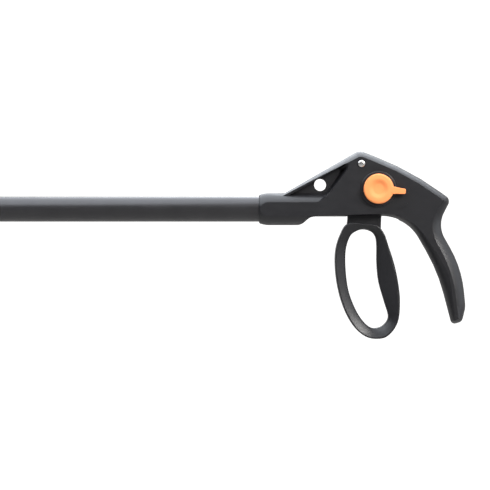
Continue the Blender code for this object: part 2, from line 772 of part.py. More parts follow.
def add_trigger(axis, material):
    """The one-piece trigger: arm and finger loop, with the slot that drives the rod's cross pin."""
    trigger = add_part("trigger", prism(arm_outline(), -ARM_HALF, ARM_HALF, 1.0), material, axis)
    combine(trigger, add_helper("trigger_loop", finger_loop(), axis), "UNION")
    groove = prism(ARM_GROOVE_CORNERS, -EYE_HALF - GAP, EYE_HALF + GAP)
    combine(trigger, add_helper("trigger_groove", groove, axis))
    away = (Vector((PIN_REST_X, 0)) - Vector(PIVOT)).normalized()
    slot_start = Vector(PIVOT) + away * (PIVOT_DROP - 0.1 * MM)
    slot_end = Vector(PIVOT) + away * (PIVOT_DROP / math.cos(TRIGGER_SWING / 2) + 0.1 * MM)
    slot = capsule(-20 * MM, 20 * MM, slot_start, slot_end, CROSS_PIN_RADIUS + RUNNING)
    combine(trigger, add_helper("trigger_slot", slot, axis))
    hole = across(PIVOT, -20 * MM, 20 * MM, PIVOT_PIN_RADIUS + RUNNING)
    combine(trigger, add_helper("trigger_pivot_hole", hole, axis))


def add_pivot_pin(tool, steel):
    """Domed pin from the left side, held by a clip in the right shell's recess."""
    head = HALF_WIDTH + GAP
    tip = HALF_WIDTH - GAP
    profile = (
        (0, head + PIVOT_HEAD_HEIGHT),
        (PIVOT_HEAD_RADIUS * 0.4, head + PIVOT_HEAD_HEIGHT * 0.92),
        (PIVOT_HEAD_RADIUS * 0.74, head + PIVOT_HEAD_HEIGHT * 0.66),
        (PIVOT_HEAD_RADIUS * 0.94, head + PIVOT_HEAD_HEIGHT * 0.32),
        (PIVOT_HEAD_RADIUS, head),
        (PIVOT_PIN_RADIUS, head),
        (PIVOT_PIN_RADIUS, -tip + 0.5 * MM),
        (PIVOT_PIN_RADIUS - 0.5 * MM, -tip),
        (0, -tip),
    )
    add_turned("pivot_pin", profile, (PIVOT[0], 0, PIVOT[1]), (0, -1, 0), tool, steel)
    inner = PIVOT_PIN_RADIUS + RUNNING
    outer = PIVOT_CLIP_RADIUS
    low = HALF_WIDTH - PIVOT_CLIP_DEPTH + GAP
    top = low + 1 * MM
    clip = ((inner, top), (outer - 0.4 * MM, top), (outer, top - 0.6 * MM), (outer, low), (inner, low))
    add_turned("pivot_clip", clip, (PIVOT[0], 0, PIVOT[1]), (0, 1, 0), tool, steel, ring=True)


# ---------------------------------------------------------------- trigger lock


def add_lock_knob(axis, material):
    """Round knob with a dished face and a short tab, on a hub that turns in the left shell."""
    back = KNOB_BACK
    front = back + KNOB_THICK
    hub_end = ARM_HALF + 3 * GAP
    profile = (
        (0, front - KNOB_DISH_DEPTH),
        (KNOB_DISH_RADIUS * 0.72, front - KNOB_DISH_DEPTH),
        (KNOB_DISH_RADIUS * 0.93, front - KNOB_DISH_DEPTH * 0.6),
        (KNOB_DISH_RADIUS, front - 0.2 * MM),
        (KNOB_DISH_RADIUS + 0.6 * MM, front),
        (KNOB_RADIUS - 1.8 * MM, front),
        (KNOB_RADIUS - 0.5 * MM, front - 0.6 * MM),
        (KNOB_RADIUS, front - 2 * MM),
        (KNOB_RADIUS, back),
        (HUB_RADIUS, back),
        (HUB_RADIUS, hub_end),
        (0, hub_end),
    )
    knob = add_turned("lock_knob", profile, (LOCK[0], 0, LOCK[1]), (0, -1, 0), axis, material, 48)
    root = Vector(LOCK) + on_arc((0, 0), 6 * MM, TAB_REST)
    tip = Vector(LOCK) + on_arc((0, 0), TAB_REACH, TAB_REST)
    side = on_arc((0, 0), 1, TAB_REST + math.pi / 2)
    corners = [
        (*(root - side * TAB_ROOT_HALF), 0),
        (*(tip - side * TAB_TIP_HALF), TAB_TIP_HALF * 0.9),
        (*(tip + side * TAB_TIP_HALF), TAB_TIP_HALF * 0.9),
        (*(root + side * TAB_ROOT_HALF), 0),
    ]
    tab = prism(corners, -front + 0.4 * MM, -back - 0.8 * MM, 1.0)
    tab_helper = add_helper("lock_knob_tab", tab, axis)
    dish = across(LOCK, -front - 3 * MM, -front + KNOB_DISH_DEPTH, KNOB_DISH_RADIUS * 0.7, 32)
    combine(tab_helper, add_helper("lock_knob_tab_clearing", dish, axis))
    combine(knob, tab_helper, "UNION")
    socket = across(LOCK, -back + STUB_DEPTH, -3 * MM, STUB_RADIUS + GAP + RUNNING, 6)
    combine(knob, add_helper("lock_knob_socket", socket, axis))
    thread = across(LOCK, -back - 1.6 * MM, -3 * MM, SCREW_RADIUS + RUNNING, 16)
    combine(knob, add_helper("lock_knob_thread", thread, axis))


def add_lock_cam(axis, material):
    """Eccentric disc between the shells, with a six-sided stub in the knob and a round journal."""
    stub_end = KNOB_BACK - GAP - STUB_DEPTH
    away = LOCK_ANGLE + CAM_REST_AWAY
    centre = on_arc(LOCK, CAM_OFFSET, away)
    half = ARM_HALF - GAP
    cam = add_part("lock_cam", across(centre, -half, half, CAM_RADIUS, 32), material, axis)
    stub = across(LOCK, -stub_end, -half + 1 * MM, STUB_RADIUS, 6)
    combine(cam, add_helper("lock_cam_stub", stub, axis), "UNION")
    journal = across(LOCK, half - 1 * MM, JOURNAL_SEAT - GAP, JOURNAL_RADIUS, 24)
    combine(cam, add_helper("lock_cam_journal", journal, axis), "UNION")
    bore = across(LOCK, -30 * MM, 30 * MM, SCREW_RADIUS + RUNNING, 16)
    combine(cam, add_helper("lock_cam_bore", bore, axis))
    seat_y = JOURNAL_SEAT - GAP - LOCK_SCREW_HEAD_THICK
    seat = across(LOCK, seat_y, 30 * MM, LOCK_SCREW_HEAD_RADIUS + RUNNING, 20)
    combine(cam, add_helper("lock_cam_screw_seat", seat, axis))


def add_lock_fasteners(axis, tool, steel):
    top = JOURNAL_SEAT - 2 * GAP
    seat = JOURNAL_SEAT - LOCK_SCREW_HEAD_THICK
    tip = -KNOB_BACK - 0.9 * MM
    head = LOCK_SCREW_HEAD_RADIUS
    profile = ((0, top), (head, top), (head, seat), (SCREW_RADIUS, seat), (SCREW_RADIUS, tip), (0, tip))
    add_turned("lock_screw", profile, (LOCK[0], 0, LOCK[1]), (0, 1, 0), axis, steel, 16)
    inner = HUB_RADIUS + RUNNING
    low = HALF_WIDTH + 2 * GAP
    high = KNOB_BACK - RECESS
    ring = ((inner, high), (WASHER_RADIUS, high), (WASHER_RADIUS, low), (inner, low))
    add_turned("lock_washer", ring, (LOCK[0], 0, LOCK[1]), (0, -1, 0), tool, steel, 32, ring=True)


# ---------------------------------------------------------------- tube, rod and spring


def add_tube(tool, aluminium):
    inner, outer = TUBE_INNER, TUBE_OUTER
    length = TUBE_IN_COLLAR - TUBE_FRONT_X
    ring = ((inner, length), (outer, length), (outer, 0), (inner, 0))
    tube = add_turned("tube", ring, (TUBE_FRONT_X, 0, 0), (1, 0, 0), tool, aluminium, 40, ring=True)
    peg_hole = across((TUBE_PEG_X, 0), -20 * MM, 20 * MM, TUBE_PEG_RADIUS + GAP)
    combine(tube, add_helper("tube_peg_hole", peg_hole, tool))
    rivet_hole = across((HEAD_RIVET_X, 0), -20 * MM, 20 * MM, HEAD_RIVET_RADIUS + RUNNING)
    combine(tube, add_helper("tube_rivet_hole", rivet_hole, tool))


def add_rod_guides(tool, nylon):
    """Three grooved bushes that keep the rod on the tube's axis."""
    outer = TUBE_INNER - RUNNING
    inner = ROD_RADIUS + RUNNING
    length = GUIDE_LENGTH
    ring = (
        (inner, length),
        (outer - GUIDE_CHAMFER, length),
        (outer, length - GUIDE_CHAMFER),
        (outer, length * 0.65),
        (outer - GUIDE_GROOVE, length * 0.6),
        (outer - GUIDE_GROOVE, length * 0.4),
        (outer, length * 0.35),
        (outer, GUIDE_CHAMFER),
        (outer - GUIDE_CHAMFER, 0),
        (inner, 0),
    )
    rear = TUBE_IN_COLLAR - length - 4 * MM
    front = TUBE_FRONT_X + SPIGOT_LENGTH + 20 * MM
    for label, x in (("rear", rear), ("middle", (rear + front) / 2), ("front", front)):
        start = (x, 0, 0)
        add_turned(f"{label}_rod_guide", ring, start, (1, 0, 0), tool, nylon, 16, ring=True)


def add_rod(slide, steel):
    """Pull rod with its eye, cross pin and spring collar, and the washer behind the spring."""
    socket_x = PIN_REST_X - 5.5 * MM
    rod = bar((CROSSHEAD_REST_X + ROD_IN_CROSSHEAD, 0, 0), (socket_x - GAP, 0, 0), ROD_RADIUS, 16)
    add_part("pull_rod", rod, steel, slide)
    eye_x = PIN_REST_X / MM
    front, back = eye_x - 12.5, eye_x + 4.6
    corners = ((front, -4.4, 1), (back, -4.4, 4.3), (back, 4.4, 4.3), (front, 4.4, 1))
    rod_end = add_part("rod_end", prism(corners, -EYE_HALF, EYE_HALF), steel, slide)
    socket = bar((0, 0, 0), (socket_x, 0, 0), ROD_RADIUS + GAP, 16)
    combine(rod_end, add_helper("rod_end_socket", socket, slide))
    pin_hole = across((PIN_REST_X, 0), -10 * MM, 10 * MM, CROSS_PIN_RADIUS + RUNNING)
    combine(rod_end, add_helper("rod_end_pin_hole", pin_hole, slide))
    pin_half = ARM_HALF - GAP
    pin = across((PIN_REST_X, 0), -pin_half, pin_half, CROSS_PIN_RADIUS, 16)
    add_part("rod_cross_pin", pin, steel, slide)
    inner = ROD_RADIUS + RUNNING
    outer = SPRING_OUTER + 0.3 * MM
    collar_x = SPRING_START_X - SPRING_WIRE - GAP - SPRING_COLLAR_THICK
    washer_x = BULKHEAD_X - GAP - SPRING_WASHER_THICK
    for name, x, thick, parent in (
        ("spring_collar", collar_x, SPRING_COLLAR_THICK, slide),
        ("spring_washer", washer_x, SPRING_WASHER_THICK, slide.parent),
    ):
        ring = ((inner, thick), (outer, thick), (outer, 0), (inner, 0))
        add_turned(name, ring, (x, 0, 0), (1, 0, 0), parent, steel, 20, ring=True)


def add_return_spring(tool, steel):
    """Compression spring on the rod, a coil of round wire."""
    curve = bpy.data.curves.new("return_spring", "CURVE")
    curve.dimensions = "3D"
    curve.bevel_depth = SPRING_WIRE
    curve.bevel_resolution = 1
    curve.use_fill_caps = True
    spline = curve.splines.new("POLY")
    per_turn = 10
    count = SPRING_TURNS * per_turn + 1
    spline.points.add(count - 1)
    for index in range(count):
        angle = 2 * math.pi * index / per_turn
        x = SPRING_START_X + (SPRING_END_X - SPRING_START_X) * index / (count - 1)
        y = SPRING_RADIUS * math.cos(angle)
        z = SPRING_RADIUS * math.sin(angle)
        spline.points[index].co = (x, y, z, 1)
    curve.materials.append(steel)
    spring = bpy.data.objects.new("return_spring", curve)
    bpy.data.collections[TOOL_COLLECTION].objects.link(spring)
    spring.parent = tool


# ---------------------------------------------------------------- head and jaws


def head_corners():
    """The head's side view: a neck at the tube that opens to a round about each jaw's pin."""
    top = JAW_PIVOT_Z + CHEEK_ROUND
    half = (
        (JAW_PIVOT_X - CHEEK_ROUND, top, CHEEK_ROUND),
        (JAW_PIVOT_X + 12 * MM, top, 10 * MM),
        (JAW_PIVOT_X + 26 * MM, TUBE_OUTER + HEAD_SHOULDER, 10 * MM),
        (TUBE_FRONT_X - 4 * MM, TUBE_OUTER - 0.5 * MM, 2 * MM),
    )
    return [*half, *((x, -z, radius) for x, z, radius in reversed(half))]


def add_head(tool, plastic, steel):
    """Fork that carries the jaws, on a spigot held in the tube by two rivets."""
    head = add_part("head", prism(head_corners(), -CHEEK_OUTER, CHEEK_OUTER, 1.0), plastic, tool)
    front = TUBE_FRONT_X - GAP
    shoulder = TUBE_OUTER + HEAD_SHOULDER
    profile = (
        (0, SPIGOT_LENGTH),
        (TUBE_INNER - 1.3 * MM, SPIGOT_LENGTH),
        (TUBE_INNER - GAP, SPIGOT_LENGTH - 2 * MM),
        (TUBE_INNER - GAP, 0),
        (shoulder, 0),
        (shoulder, -6 * MM),
        (shoulder - 1.5 * MM, -9 * MM),
        (0, -9 * MM),
    )
    spigot = add_turned("head_spigot", profile, (front, 0, 0), (1, 0, 0), tool, steps=40)
    combine(head, spigot, "UNION")
    slot_half = JAW_HALF + GAP
    slot_low = (JAW_PIVOT_X - 40 * MM, -slot_half, -2 * JAW_PIVOT_Z)
    slot_high = (JAW_PIVOT_X + 28 * MM, slot_half, 2 * JAW_PIVOT_Z)
    combine(head, add_helper("head_slot", box(slot_low, slot_high), tool))
    rod_way = bar((JAW_PIVOT_X, 0, 0), (front + SPIGOT_LENGTH + 10 * MM, 0, 0), ROD_PASSAGE_RADIUS)
    combine(head, add_helper("head_rod_way", rod_way, tool))
    rivet_hole = across((HEAD_RIVET_X, 0), -20 * MM, 20 * MM, HEAD_RIVET_RADIUS + RUNNING)
    combine(head, add_helper("head_rivet_hole", rivet_hole, tool))
    for label, z in (("upper", JAW_PIVOT_Z), ("lower", -JAW_PIVOT_Z)):
        hole = across((JAW_PIVOT_X, z), -20 * MM, 20 * MM, JAW_PIN_RADIUS + RUNNING)
        combine(head, add_helper(f"head_{label}_pin_hole", hole, tool))
        add_jaw_pin(label, z, tool, steel)
    for label, side in (("left", -1), ("right", 1)):
        dome = TUBE_OUTER + GAP
        rivet = (
            (0, dome + 1.3 * MM),
            (1.8 * MM, dome + 1.0 * MM),
            (3.0 * MM, dome),
            (HEAD_RIVET_RADIUS, dome),
            (HEAD_RIVET_RADIUS, ROD_PASSAGE_RADIUS + 0.8 * MM),
            (0, ROD_PASSAGE_RADIUS + 0.8 * MM),
        )
        add_turned(f"head_rivet_{label}", rivet, (HEAD_RIVET_X, 0, 0), (0, side, 0), tool, steel, 16)


def add_jaw_pin(label, z, tool, steel):
    """A headed pin from the left cheek and the push-on clip at its right end."""
    head = CHEEK_OUTER + GAP
    profile = (
        (0, head + 1.5 * MM),
        (JAW_PIN_HEAD_RADIUS - 1 * MM, head + 1.5 * MM),
        (JAW_PIN_HEAD_RADIUS, head + 0.8 * MM),
        (JAW_PIN_HEAD_RADIUS, head),
        (JAW_PIN_RADIUS, head),
        (JAW_PIN_RADIUS, -head - 1.9 * MM),
        (0, -head - 1.9 * MM),
    )
    start = (JAW_PIVOT_X, 0, z)
    add_turned(f"{label}_jaw_pin", profile, start, (0, -1, 0), tool, steel, 20)
    inner = JAW_PIN_RADIUS + RUNNING
    top = head + 1.2 * MM
    clip = ((inner, top), (JAW_CLIP_RADIUS, top), (JAW_CLIP_RADIUS, head), (inner, head))
    add_turned(f"{label}_jaw_clip", clip, start, (0, 1, 0), tool, steel, 20, ring=True)


def add_crosshead(slide, nylon, steel):
    """Block on the front of the rod. Its ears hold the pin that works both jaws."""
    x = CROSSHEAD_REST_X / MM
    corners = ((x - 4.2, -5.6, 3), (x + 20, -5.6, 1), (x + 20, 5.6, 1), (x - 4.2, 5.6, 3))
    body = prism(corners, -JAW_HALF + GAP, JAW_HALF - GAP)
    crosshead = add_part("crosshead", body, nylon, slide)
    lap = TONGUE_HALF + GAP
    slot = box(((x - 8) * MM, -lap, -20 * MM), ((x + 9.6) * MM, lap, 20 * MM))
    combine(crosshead, add_helper("crosshead_slot", slot, slide))
    hole = across((CROSSHEAD_REST_X, 0), -20 * MM, 20 * MM, CROSS_PIN_RADIUS + RUNNING)
    combine(crosshead, add_helper("crosshead_pin_hole", hole, slide))
    socket_x = CROSSHEAD_REST_X + ROD_IN_CROSSHEAD - GAP
    socket = bar((socket_x, 0, 0), (JAW_PIVOT_X + 40 * MM, 0, 0), ROD_RADIUS + GAP, 16)
    combine(crosshead, add_helper("crosshead_socket", socket, slide))
    half = JAW_HALF - GAP
    add_part("crosshead_pin", across((CROSSHEAD_REST_X, 0), -half, half, CROSS_PIN_RADIUS, 16), steel, slide)


def slot_direction(way):
    """From a jaw's pivot to the middle of its slot, with the jaw closed."""
    return Vector((math.sin(JAW_SWING / 2), -way * math.cos(JAW_SWING / 2)))


def jaw_corners(way):
    """A closed jaw's side view from its pivot, down to the square-ended arm that holds the slot."""
    away = slot_direction(1)
    side = Vector((-away.y, away.x))
    end = away * (JAW_PIVOT_Z / math.cos(JAW_SWING / 2) + ARM_END_HALF)
    seat = -JAW_SEAT / MM
    length = -JAW_LENGTH / MM
    corners = [
        (7.6, 7.6, 7.0),
        (-40, 7.4, 60),
        (length, seat + 5.2, 2.5),
        (length, seat, 1),
        (PAD_BACK / MM + 2, seat, 6),
        (-41, -5.0, 14),
        (-3.2, -6.8, 3),
    ]
    for across_end in (-ARM_END_HALF, ARM_END_HALF):
        tip = (end + side * across_end) / MM
        corners.append((tip.x, tip.y, ARM_END_HALF / MM - 0.2))
    return [(x, way * z, radius) for x, z, radius in corners]


def add_jaw(label, way, axis, plastic, rubber, steel):
    """A jaw drawn closed about its pivot: way is 1 for the upper jaw and -1 for the lower one."""
    jaw = add_part(f"{label}_jaw", prism(jaw_corners(way), -JAW_HALF, JAW_HALF), plastic, axis, local=True)
    seat = way * -JAW_SEAT
    back = way * (-JAW_SEAT + 3.2 * MM)
    plate = box(
        (PAD_FRONT - 1 * MM, -PAD_HALF + 0.8 * MM, min(seat, back)),
        (PAD_BACK + 1 * MM, PAD_HALF - 0.8 * MM, max(seat, back)),
    )
    combine(jaw, add_helper(f"{label}_jaw_plate", plate, axis, local=True), "UNION")
    lap = ((-9, way * -9.6, 0), (30, way * -9.6, 0), (30, way * -40, 0), (-9, way * -40, 0))
    inner = -way * PARTING
    outer = -way * TONGUE_HALF
    for index, (low, high) in enumerate(((inner, way * 30 * MM), (outer, -way * 30 * MM))):
        cut = prism(lap, min(low, high), max(low, high))
        combine(jaw, add_helper(f"{label}_jaw_lap_{index + 1}", cut, axis, local=True))
    away = slot_direction(way)
    start = away * (JAW_PIVOT_Z - 0.15 * MM)
    end = away * (JAW_PIVOT_Z / math.cos(JAW_SWING / 2) + 0.15 * MM)
    slot = capsule(-20 * MM, 20 * MM, start, end, CROSS_PIN_RADIUS + RUNNING)
    combine(jaw, add_helper(f"{label}_jaw_slot", slot, axis, local=True))
    hole = across((0, 0), -20 * MM, 20 * MM, JAW_PIN_RADIUS + RUNNING)
    combine(jaw, add_helper(f"{label}_jaw_pivot_hole", hole, axis, local=True))
    add_pad(label, way, jaw, axis, rubber, steel)


def add_pad(label, way, jaw, axis, rubber, steel):
    """Ribbed rubber pad and the rivet that holds it to the jaw."""
    seat = way * (-JAW_SEAT - GAP)
    face = seat - way * PAD_THICK
    low, high = min(seat, face), max(seat, face)
    pad = add_part(
        f"{label}_pad", box((PAD_FRONT, -PAD_HALF, low), (PAD_BACK, PAD_HALF, high)), rubber, axis, local=True
    )
    pitch = PAD_LENGTH / (PAD_GROOVES + 1)
    for index in range(PAD_GROOVES):
        x = PAD_FRONT + pitch * (index + 1)
        groove = bar((x, -20 * MM, face), (x, 20 * MM, face), PAD_GROOVE_RADIUS, 8)
        combine(pad, add_helper(f"{label}_pad_groove_{index + 1}", groove, axis, local=True))
    x = (PAD_FRONT + PAD_BACK) / 2
    shank = PAD_RIVET_RADIUS
    tip = JAW_SEAT + GAP + PAD_THICK - 1.7 * MM
    hole = bar((x, 0, 0), (x, 0, -way * (tip + GAP)), shank + RUNNING, 16)
    hole_helper = add_helper(f"{label}_rivet_hole", hole, axis, local=True)
    combine(jaw, hole_helper)
    combine(pad, hole_helper)
    seat_radius = PAD_RIVET_HEAD_RADIUS + RECESS
    counterbore = bar((x, 0, way * 12 * MM), (x, 0, -way * PAD_RIVET_SEAT), seat_radius, 20)
    combine(jaw, add_helper(f"{label}_rivet_seat", counterbore, axis, local=True))
    head = PAD_RIVET_SEAT - GAP
    rivet = (
        (0, -head + 1.4 * MM),
        (PAD_RIVET_HEAD_RADIUS * 0.6, -head + 1.1 * MM),
        (PAD_RIVET_HEAD_RADIUS, -head),
        (shank, -head),
        (shank, -tip),
        (0, -tip),
    )
    add_turned(f"{label}_pad_rivet", rivet, (x, 0, 0), (0, 0, way), axis, steel, 16, local=True)


# ---------------------------------------------------------------- assembly


def centre_on_origin(tool):
    """Moves the tool so that the box around all its parts is centred on the origin."""
    bpy.context.view_layer.update()
    graph = bpy.context.evaluated_depsgraph_get()
    low = Vector((math.inf,) * 3)
    high = -low
    for item in bpy.data.collections[TOOL_COLLECTION].objects:
        if item.type == "EMPTY":
            continue
        evaluated = item.evaluated_get(graph)
        mesh = evaluated.to_mesh()
        for vert in mesh.vertices:
            point = evaluated.matrix_world @ vert.co
            low = Vector(map(min, low, point))
            high = Vector(map(max, high, point))
        evaluated.to_mesh_clear()
    tool.location = -(low + high) / 2


def build():
    clear_scene()
    black = make_material("black_plastic", (0.028, 0.027, 0.031), 0.5)
    orange = make_material("orange_plastic", (1.0, 0.33, 0.1), 0.45)
    rubber = make_material("black_rubber", (0.02, 0.02, 0.02), 0.8)
    nylon = make_material("white_nylon", (0.75, 0.74, 0.7), 0.5)
    steel = make_material("steel", (0.6, 0.6, 0.6), 0.3, 1.0)
    aluminium = make_material("black_aluminium", (0.03, 0.03, 0.035), 0.35, 0.6)

    tool = make_empty("tool_frame", 0, 0)
    trigger_axis = make_empty("trigger_axis", *PIVOT, tool)
    lock_axis = make_empty("lock_axis", *LOCK, tool)
    rod_slide = make_empty("rod_slide", PIN_REST_X, 0, tool)
    upper_axis = make_empty("upper_jaw_axis", JAW_PIVOT_X, JAW_PIVOT_Z, tool, JAW_SWING)
    lower_axis = make_empty("lower_jaw_axis", JAW_PIVOT_X, -JAW_PIVOT_Z, tool, -JAW_SWING)

    add_handle_shell("handle_left_shell", -1, tool, black)
    add_handle_shell("handle_right_shell", 1, tool, black)
    add_shell_screws(tool, steel)
    add_trigger(trigger_axis, black)
    add_pivot_pin(tool, steel)
    add_lock_knob(lock_axis, orange)
    add_lock_cam(lock_axis, nylon)
    add_lock_fasteners(lock_axis, tool, steel)
    add_tube(tool, aluminium)
    add_rod_guides(tool, nylon)
    add_rod(rod_slide, steel)
    add_return_spring(tool, steel)
    add_head(tool, black, steel)
    add_crosshead(rod_slide, nylon, steel)
    add_jaw("upper", 1, upper_axis, black, rubber, steel)
    add_jaw("lower", -1, lower_axis, black, rubber, steel)
    centre_on_origin(tool)


build()
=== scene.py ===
"""Reacher grabber: the finished pieces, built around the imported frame.

Each piece is drawn in the tool's own frame, in metres: X is 0 at the collar's front edge and
grows towards the grip, Z is 0 on the tube's axis, and Y is 0 on the plane where the handle's
shells part. A finished piece is then moved by ORIGIN, so that its place is in its mesh.
"""

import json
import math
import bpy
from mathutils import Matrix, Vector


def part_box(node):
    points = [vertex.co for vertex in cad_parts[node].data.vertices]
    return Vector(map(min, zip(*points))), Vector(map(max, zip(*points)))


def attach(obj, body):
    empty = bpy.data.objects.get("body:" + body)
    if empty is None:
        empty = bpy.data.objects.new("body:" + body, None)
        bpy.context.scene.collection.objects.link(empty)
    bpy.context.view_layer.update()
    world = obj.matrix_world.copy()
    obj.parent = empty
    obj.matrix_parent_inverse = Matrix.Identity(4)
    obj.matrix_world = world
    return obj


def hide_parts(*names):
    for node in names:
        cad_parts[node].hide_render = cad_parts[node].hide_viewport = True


bl_info = {
    "name": "Reacher Grabber Finish",
    "version": (1, 0, 0),
    "blender": (4, 5, 0),
    "location": "View3D > Sidebar > Reacher",
    "description": "Builds the finished pieces of a reacher grabber around its packed frame",
    "category": "Object",
}

import bmesh
import bpy
from mathutils import Matrix, Vector

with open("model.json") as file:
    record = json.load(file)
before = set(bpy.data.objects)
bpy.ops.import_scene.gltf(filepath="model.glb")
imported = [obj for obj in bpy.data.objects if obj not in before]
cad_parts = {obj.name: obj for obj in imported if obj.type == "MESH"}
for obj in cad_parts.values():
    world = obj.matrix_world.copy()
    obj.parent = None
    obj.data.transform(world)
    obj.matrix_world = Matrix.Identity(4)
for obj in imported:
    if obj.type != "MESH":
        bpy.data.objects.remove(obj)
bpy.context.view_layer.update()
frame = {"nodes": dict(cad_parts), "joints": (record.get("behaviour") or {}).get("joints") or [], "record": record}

MM = 0.001

# Places and sizes read from the frame
TUBE_LOW, TUBE_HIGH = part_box("tube")
LEFT_LOW, LEFT_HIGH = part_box("handle_left_shell")
RIGHT_LOW, RIGHT_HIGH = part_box("handle_right_shell")
ORIGIN = Vector((LEFT_LOW.x, (TUBE_LOW.y + TUBE_HIGH.y) / 2, (TUBE_LOW.z + TUBE_HIGH.z) / 2))
JOINTS = {joint["name"]: joint for joint in frame["joints"]}
COUPLINGS = {entry["joint"]: entry for entry in frame["record"]["behaviour"]["couplings"]}
TUBE_RADIUS = (TUBE_HIGH.z - TUBE_LOW.z) / 2
TUBE_FRONT = TUBE_LOW.x - ORIGIN.x
TUBE_BACK = TUBE_HIGH.x - ORIGIN.x
HALF_WIDTH = RIGHT_HIGH.y - ORIGIN.y
PARTING = RIGHT_LOW.y - ORIGIN.y


def joint_place(name):
    """A joint's place in the tool's own frame, as (x, z)."""
    place = Vector(JOINTS[name]["pos_m"]) - ORIGIN
    return Vector((place.x, place.z))


def node_place(name):
    """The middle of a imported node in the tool's own frame."""
    low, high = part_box(name)
    return (low + high) / 2 - ORIGIN


PIVOT = joint_place("trigger_pivot")
LOCK = joint_place("lock_turn")
JAW_PIVOTS = {1: joint_place("upper_jaw_pivot"), -1: joint_place("lower_jaw_pivot")}
JAW_PIVOT_Z = JAW_PIVOTS[1].y
TRIGGER_SWING = math.radians(JOINTS["trigger_pivot"]["range_deg"][1])
JAW_SWING = TRIGGER_SWING * COUPLINGS["upper_jaw_pivot"]["ratio"]
PIN_REST_X = node_place("rod_cross_pin").x

TUBE_WALL = 1.25 * MM

# Clearances, and half the length of a cutter that goes right through the tool
GAP = 0.3 * MM
RUNNING = 0.25 * MM
THROUGH = 30 * MM

# Handle shells
COLLAR_RADIUS = TUBE_RADIUS + 3.5 * MM
COLLAR_FRONT_RADIUS = TUBE_RADIUS + 1.7 * MM
COLLAR_LEAD = 10 * MM
BARREL_END = 78 * MM
WEB_HALF = 3 * MM
HANG_HOLE = Vector((60.8 * MM, 24.0 * MM))
HANG_HOLE_RADIUS = 6 * MM
NOSE_X = 20 * MM
NOSE_HALF = 9 * MM
BRACE_FULL_X = 92 * MM
KNOB_BOSS_RADIUS = 17.6 * MM
KNOB_BOSS_PROUD = 1.2 * MM
SCREW_PLACES = [
    Vector(place) * MM for place in ((88.5, 34.5), (141, 33), (168, 6), (178.6, -42.3), (193.0, -86.5))
]
SCREW_RADIUS = 1.4 * MM
SCREW_HEAD_RADIUS = 2.8 * MM
SCREW_SEAT = 7 * MM
SPRING_PASSAGE_RADIUS = 5.2 * MM
SPRING_PASSAGE_END = 85 * MM
CLIP_RECESS_RADIUS = 5.2 * MM
CLIP_RECESS_DEPTH = 2.4 * MM
JOURNAL_BORE_RADIUS = 4.25 * MM
JOURNAL_SKIN = 3.6 * MM
# In front of this the flat side's edges are cut away or run into the barrel, so they stay sharp
CREASE_FRONT_X = 65 * MM

# Trigger, whose shoulder stands just clear of the lock's cam
CAM_RADIUS = 4.6 * MM
CAM_OFFSET = 2 * MM
CAM_LEAN = math.radians(30)
ARM_HALF = 6.5 * MM
PIN_RADIUS = 2.5 * MM
CROSS_PIN_RADIUS = 2 * MM
EYE_HALF = 3.3 * MM
ARM_BOSS_RADIUS = 6.2 * MM
SHOULDER_RADIUS = (LOCK - PIVOT).length + CAM_RADIUS + CAM_OFFSET * math.cos(CAM_LEAN) + PARTING
RIM_HALF = 12.4 * MM

# Lock knob
KNOB_RADIUS = 14.85 * MM
KNOB_BACK = HALF_WIDTH + KNOB_BOSS_PROUD + GAP
KNOB_FRONT = ORIGIN.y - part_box("lock_knob")[0].y
DISH_RADIUS = 10 * MM
DISH_DEPTH = 2.0 * MM
TAB_ANGLE = math.radians(-6)
TAB_REACH = 26.9 * MM
HUB_RADIUS = 6 * MM
HUB_END = 7.4 * MM

# Head, jaws and pads
JAW_HALF = 5.8 * MM
CHEEK_OUTER = 10.1 * MM
CHEEK_ROUND = 7.4 * MM
TONGUE_HALF = 3 * MM
JAW_PIN_RADIUS = 2.2 * MM
HEAD_RIVET_RADIUS = 2 * MM
PAD_HALF = 12 * MM
PAD_THICK = 3.7 * MM
PAD_FRONT = -96 * MM
PAD_BACK = -58 * MM
PAD_GROOVES = 7
PAD_MIDDLE = (PAD_FRONT + PAD_BACK) / 2
PAD_RIVET_BORE = 1.85 * MM
PAD_RIVET_RECESS_RADIUS = 3.2 * MM
PAD_RIVET_INSET = 5.3 * MM
JAW_SEAT = JAW_PIVOT_Z - PAD_THICK - 0.5 * MM

ARC_STEP = math.radians(5)
UNDERSIDE = -7.4

# Corners in millimetres: x, z, corner radius, draw-in at the side face
BODY_CORNERS = (
    (48, UNDERSIDE, 0, 0),
    (146.6, UNDERSIDE, 42, 3.5),
    (177.6, -61.7, 175, 9.8),
    (191.7, -115.0, 4.2, 3.2),
    (202.0, -112.0, 6, 4.6),
    (205.6, -97.5, 25, 9.4),
    (201.9, -58.9, 110, 10.6),
    (177.7, -16.2, 26.5, 9.6),
    (190.9, 9.5, 6.4, 5.5),
    (150.9, 38.9, 290, 5.5),
    (99.9, 58.4, 11, 5.5),
    (18, 11.5, 0, 3.6),
    (18, 2, 0, 0),
    (48, 2, 0, 0),
)
